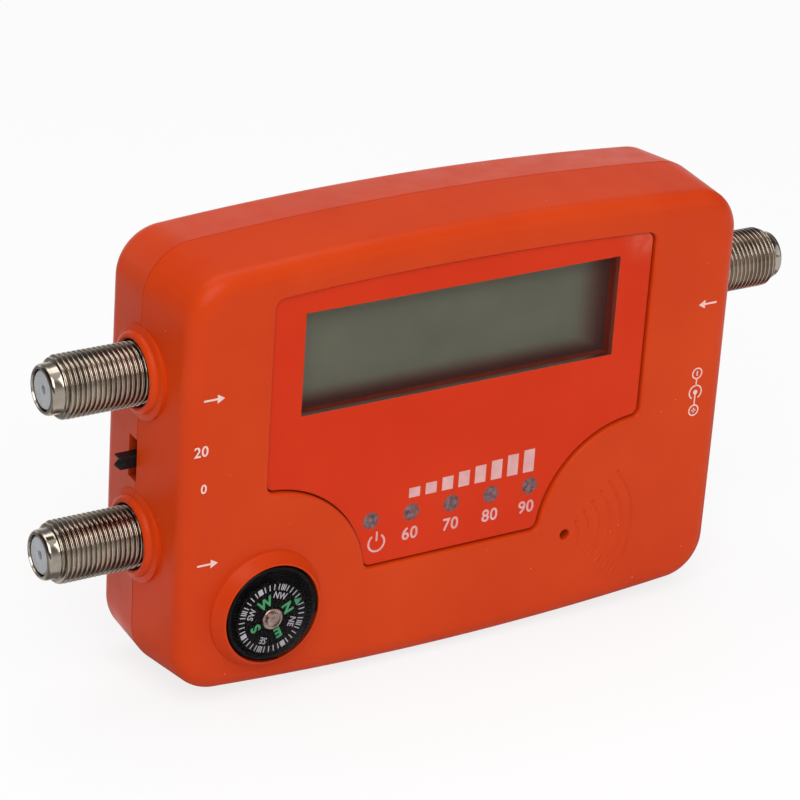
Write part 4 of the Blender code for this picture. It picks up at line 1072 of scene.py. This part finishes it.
def panel_marks():
    radius = DOT_RADIUS + HALO_GAP
    halos = [thick_arc(place, radius, HALO_WIDTH, steps=POST_STEPS) for place in LED_PLACES]
    printed("led_halos", halos, PANEL_FRONT, halo_print)
    ring = thick_arc(POWER_MARK, POWER_RADIUS, POWER_LINE, *POWER_OPEN)
    foot, top = ((POWER_MARK[0], POWER_MARK[1] + rise) for rise in POWER_STROKE)
    printed("power_mark", [ring, bar(foot, top, POWER_LINE)], PANEL_FRONT, ink)
    for i, (number, x) in enumerate(NUMBERS):
        written(f"level_number_{i + 1}", number, (x, NUMBER_Z), NUMBER_HEIGHT, PANEL_FRONT, ink)
    bars = []
    for i, height in enumerate(BAR_HEIGHTS):
        left = BAR_FIRST + BAR_PITCH * i
        bars.append(rectangle(left, BAR_FOOT, left + BAR_WIDTH, BAR_FOOT + height))
    printed("level_bars", bars, PANEL_FRONT, ink)


def shell_marks():
    """Numbers by the switch, flow arrows by the sockets and the polarity mark."""
    written("switch_number_high", *HIGH_NUMBER, 0, shell_ink)
    written("switch_number_low", *LOW_NUMBER, 0, shell_ink)
    x, width = POLARITY_X, POLE_LINE

    def upright(foot, top):
        return bar((x, foot), (x, top), width)

    marks = [
        thick_arc((x, MINUS_Z), POLE_RADIUS, width),
        upright(MINUS_Z - POLE_HALF, MINUS_Z + POLE_HALF),
        thick_arc((x, PLUS_Z), POLE_RADIUS, width),
        bar((x - POLE_HALF, PLUS_Z), (x + POLE_HALF, PLUS_Z), width),
        upright(PLUS_Z - POLE_HALF, PLUS_Z + POLE_HALF),
        thick_arc((x, 0), JACK_RADIUS, width, *JACK_OPEN),
        circle((x, 0), POLE_HALF, 16),
        upright(-POLE_HALF, JACK_FOOT),
        upright(JACK_RADIUS, JACK_TOP),
    ]
    printed("polarity_mark", marks, 0, shell_ink)
    for name, x, z, way in ARROWS:
        neck = x + way * ARROW_NECK
        shaft = bar((x + way * ARROW_TAIL, z), (neck, z), ARROW_LINE)
        head = [(neck, z - ARROW_HALF), (x + way * ARROW_TIP, z), (neck, z + ARROW_HALF)]
        printed(f"{name}_arrow", [shaft, head], 0, shell_ink)


# Sockets

def clamped(value):
    return min(1, max(0, value))


def thread_radius(along, turn, start, end):
    """Radius of the threaded barrel at a place along it, for a turn angle."""
    phase = (along / THREAD_PITCH - turn / (tau)) % 1
    ridge = clamped((abs(2 * phase - 1) - THREAD_ROOT) / THREAD_FLANK)
    ridge = ridge * ridge * (3 - 2 * ridge)
    fade = clamped(min(along - start, end - along) / THREAD_PITCH)
    return THREAD_RADIUS - THREAD_DEPTH * (1 - ridge) - THREAD_DEPTH * THREAD_RUNOUT * (1 - fade)


def socket(name, way):
    """Socket body: rolled nose, helical thread, flange, bore and prongs."""
    axis_z = centre_of(f"{name}_socket")[1]
    nose = max(way * corner.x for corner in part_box(f"{name}_socket"))
    core_end = max(way * corner.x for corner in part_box(f"{name}_insulator")) - CORE_LENGTH - GAP
    start, end = FLANGE_INNER + FLANGE_THICK, nose - NOSE_LENGTH
    count = int((end - start) / THREAD_PITCH * THREAD_ROWS)
    rows = [
        (SOCKET_BORE, nose - NOSE_SINK),
        (SOCKET_BORE - NOSE_LIP, nose - NOSE_LIP), (SOCKET_BORE, nose),
        *rim(NOSE_RADIUS, nose, NOSE_EDGE, 8),
        (NOSE_RADIUS, end + NOSE_FOOT), (NOSE_RADIUS + NOSE_FLARE, end),
        *((None, end - (end - start) * i / count) for i in range(count + 1)),
        (FLANGE_RADIUS, start), (FLANGE_RADIUS, FLANGE_INNER),
        (SOCKET_NECK, FLANGE_INNER), (SOCKET_NECK, core_end), (SOCKET_BORE, core_end),
    ]

    def point(radius, along, i):
        turn = tau * i / ROUND_STEPS
        radius = radius or thread_radius(along, turn, start, end)
        return way * along, *polar((SEAM, axis_z), radius, turn)

    rings = [[point(*row, i) for i in range(ROUND_STEPS)] for row in rows]
    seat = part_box("crystal")[1].y - FRONT_Y
    left, right = sorted((way * (FLANGE_INNER - PRONG_LENGTH), way * (FLANGE_INNER + BITE)))
    shapes = [loft(rings, "joined")]
    for side in (-1, 1):
        z = axis_z + side * (FLANGE_RADIUS - PRONG_WIDTH)
        prong = rectangle(left, z - PRONG_WIDTH / 2, right, z + PRONG_WIDTH / 2)
        shapes.append(slab(prong, seat - PRONG_WIDTH, seat))
    piece(
        f"{name}_threaded_socket", gather(shapes), nickel,
        f"{name}_socket", smooth=THREAD_SMOOTH,
    )


def insulating_core(name, way, z):
    """Pale core in a socket's bore, with a small mouth for the centre wire."""
    inner, front = sorted(way * corner.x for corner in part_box(f"{name}_insulator"))
    back = front - CORE_LENGTH
    profile = [
        (CORE_MOUTH, front - NOSE_LIP), (CORE_MOUTH + NOSE_LIP, front),
        (CORE_RADIUS - CORE_EDGE, front), (CORE_RADIUS, front - CORE_EDGE),
        (CORE_RADIUS, back), (CORE_NECK, back), (CORE_NECK, inner), (CORE_BORE, inner),
        (CORE_BORE, front - CORE_MOUTH), (CORE_MOUTH, front - CORE_MOUTH),
    ]
    shape = moved(turned(profile, (way, 0, 0), 64), 0, SEAM, z)
    piece(f"{name}_core", shape, insulator, f"{name}_insulator")


# Compass

def dome(radius, rise, base, steps=10):
    """(radius, height) points of a dome, from its top to its edge."""
    curve = (radius ** 2 + rise ** 2) / (2 * rise)
    points = []
    for i in range(steps + 1):
        angle = asin(radius / curve) * i / steps
        points.append((curve * sin(angle), base + rise - curve * (1 - cos(angle))))
    return points


def compass_housing():
    """The capsule's cup, its clear dome and the cap in the middle of the card."""
    inner = CUP_RADIUS - CUP_WALL
    floor = CUP_FLOOR - CUP_BACK
    cup = [
        (0, floor), (inner, floor),
        (inner, CUP_RIM - CUP_EDGE), (inner + CUP_EDGE, CUP_RIM),
        (CUP_RADIUS - CUP_EDGE, CUP_RIM), (CUP_RADIUS, CUP_RIM - CUP_EDGE),
        (CUP_RADIUS, -CUP_BACK), (0, -CUP_BACK),
    ]
    piece("compass_cup", on_compass(cup), black_gloss, "compass_capsule")
    seat = CUP_RIM + GAP
    outside = dome(LENS_RADIUS, LENS_RISE, seat + LENS_EDGE)
    inside = dome(LENS_RADIUS - LENS_THICK, LENS_EDGE + LENS_RISE - LENS_THICK, seat)
    piece(
        "compass_dome", on_compass([*outside, (LENS_RADIUS, seat), *reversed(inside)]), dome_clear,
        "compass_lens", smooth=LENS_SMOOTH,
    )
    face = -CARD_FRONT
    flange, foot = face + GAP, face - CARD_THICK
    cap = [
        *((radius, face + CAP_RISE - down) for radius, down in CAP_CROWN),
        *((radius, flange + up) for radius, up in CAP_BRIM),
        (CAP_SKIRT, flange), (CAP_SKIRT, foot),
        (CAP_SKIRT - CAP_WALL, foot), (CAP_SKIRT - CAP_WALL, flange), (0, flange),
    ]
    piece("card_cap", on_compass(cap, drop=CARD_DROP), cap_metal, "compass_cap", "card")


def compass_card():
    """Black card with its printed ring of ticks and letters. It turns with the card body."""
    back = CARD_FRONT + CARD_THICK
    profile = [
        (CARD_HOLE, CARD_FRONT), (CARD_RADIUS - CARD_EDGE, CARD_FRONT),
        (CARD_RADIUS, CARD_FRONT + CARD_EDGE), (CARD_RADIUS, back), (CARD_HOLE, back),
    ]
    shape = on_compass(profile, BACK, drop=CARD_DROP)
    piece("printed_card", shape, card_black, "compass_card", "card")
    middle = (COMPASS[0], COMPASS[1] - CARD_DROP)

    def tick(angle, width):
        return bar(*(polar(middle, radius, angle) for radius in TICK_ENDS), width)

    ticks = []
    for i in range(1, TICK_COUNT):
        angle = NORTH + tau * i / TICK_COUNT
        if i % 10 == 0:
            ticks.append(tick(angle, QUARTER_WIDTH))
        elif i % 5 == 0:
            ticks += [tick(angle + side * TRIPLE_ANGLE, TRIPLE_WIDTH) for side in (-1, 0, 1)]
        else:
            ticks.append(tick(angle, TICK_WIDTH))
    printed("card_ticks", ticks, CARD_FRONT, card_white, "card")
    tip = polar(middle, POINTER_TIP, NORTH)
    base = polar(middle, POINTER_BASE, NORTH)
    corners = [polar(base, POINTER_HALF, NORTH + side * pi / 2) for side in (1, -1)]
    printed("card_pointer", [[tip, *corners]], CARD_FRONT, card_green, "card")
    for i in range(4):
        for kind, texts, turn, radius, height, *shape in LETTERS:
            angle = NORTH - pi / 2 * i - turn
            look = card_white if turn else card_green
            place, turn = polar(middle, radius, angle), angle - pi / 2
            name = f"card_{kind}_{i + 1}"
            written(name, texts[i], place, height, CARD_FRONT, look, "card", turn, *shape)


def switch_knob():
    """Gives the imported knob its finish, and softens its edges."""
    edge = dressed("switch_knob", black_plastic).modifiers.new("edge", "BEVEL")
    edge.width = KNOB_EDGE
    edge.segments = 2
    edge.limit_method = "ANGLE"


front_case()
rear_case()
window_panel()
panel_marks()
shell_marks()
for socket_name, direction, height in SOCKETS:
    socket(socket_name, direction)
    insulating_core(socket_name, direction, height)
compass_housing()
compass_card()
switch_knob()


# Stage, lights and camera

def seen_rays(tree):
    """1 for camera, glossy and transmission rays, otherwise 0."""
    rays = add(tree, "LightPath")
    seen = maths(tree, "MAXIMUM", rays["Is Camera Ray"], rays["Is Glossy Ray"])
    return maths(tree, "MAXIMUM", seen, rays["Is Transmission Ray"])


def shade_for_mirrors(tree, first, second, darkest):
    """1, and for reflected rays the darkest where either factor is 1."""
    glossy = add(tree, "LightPath")["Is Glossy Ray"]
    shaded = times(tree, maths(tree, "MAXIMUM", first, second), glossy)
    return ranged(tree, shaded, 0, 1, 1, darkest)


def stage():
    """White floor, with painted shade that only mirrors see: a painted shadow under the case and a
    darker patch behind it on the left.
    """
    shape = bmesh.new()
    bmesh.ops.create_grid(shape, x_segments=1, y_segments=1, size=FLOOR_SIZE)
    floor = linked("floor", mesh_of(shape))
    floor.location = (0, 0, -FLOOR_DROP)
    made = finish("floor", "F4F4F4", "F8F8F8", (0.75, 0.85), cloud=3, grain=400, relief=1e-5)
    tree = made.node_tree
    axes = axes_of(tree, object_space(tree))
    # Painted shade for mirrors only: a darker patch behind the case on the left, and a painted
    # shadow under it
    left, rear = fading(tree, axes["X"], -0.05, -0.1), fading(tree, axes["Y"], 0, 0.04)
    under = fading(tree, times(tree, axes["Y"], axes["Y"]), 0.017 ** 2, 0.006 ** 2)
    strength = shade_for_mirrors(tree, times(tree, left, rear), under, FLOOR_SHADE)
    pale = add(tree, "Emission", {"Strength": strength})
    glow = ranged(tree, seen_rays(tree), 0, 1, 0, FLOOR_GLOW)
    show_mix(tree, glow, tree.nodes["Principled BSDF"].outputs["BSDF"], pale["Emission"])
    floor.data.materials.append(made)


def world():
    """White room with a grey band, which mirrors see darker on the left and right."""
    made = bpy.data.worlds.new("studio")
    bpy.context.scene.world = made
    made.use_nodes = True
    tree = made.node_tree
    axes = axes_of(tree, add(tree, "TexCoord")["Generated"])
    sky = ramp(tree, axes["Z"], [(height, (level,) * 3) for height, level in SKY])
    right, left = fading(tree, axes["X"], 0.6, 0.85), fading(tree, axes["X"], -0.35, -0.6)
    sky = times(tree, sky, shade_for_mirrors(tree, right, left, SKY_SHADE))
    level = ranged(tree, seen_rays(tree), 0, 1, UNSEEN_SKY, sky)
    fill(tree, tree.nodes["Background"], {"Color": (1, 1, 1, 1), "Strength": level})


def lights():
    for name, place, size, power in LIGHTS:
        light = bpy.data.lights.new(name, "AREA")
        light.shape = "RECTANGLE"
        light.size, light.size_y = size
        light.energy = power
        obj = linked(name, light)
        obj.location = place
        aim = Vector(LIGHT_TARGET) - Vector(place)
        obj.rotation_euler = aim.to_track_quat("-Z", "Y").to_euler()


def camera():
    data = bpy.data.cameras.new("camera")
    data.lens, data.sensor_width = CAMERA_LENS, SENSOR_WIDTH
    obj = linked("camera", data)
    azimuth, elevation, roll = (radians(angle) for angle in CAMERA_ANGLES)
    level = Vector((cos(azimuth), sin(azimuth), 0))
    back = Vector((sin(azimuth) * cos(elevation), -cos(azimuth) * cos(elevation), sin(elevation)))
    rise = back.cross(level)
    right = level * cos(roll) + rise * sin(roll)
    up = rise * cos(roll) - level * sin(roll)
    turn = Matrix((right, up, back)).transposed().to_4x4()
    obj.matrix_world = Matrix.Translation(CAMERA_PLACE) @ turn
    bpy.context.scene.camera = obj


stage()
world()
lights()
camera()
bpy.context.scene.view_settings.view_transform = "Standard"
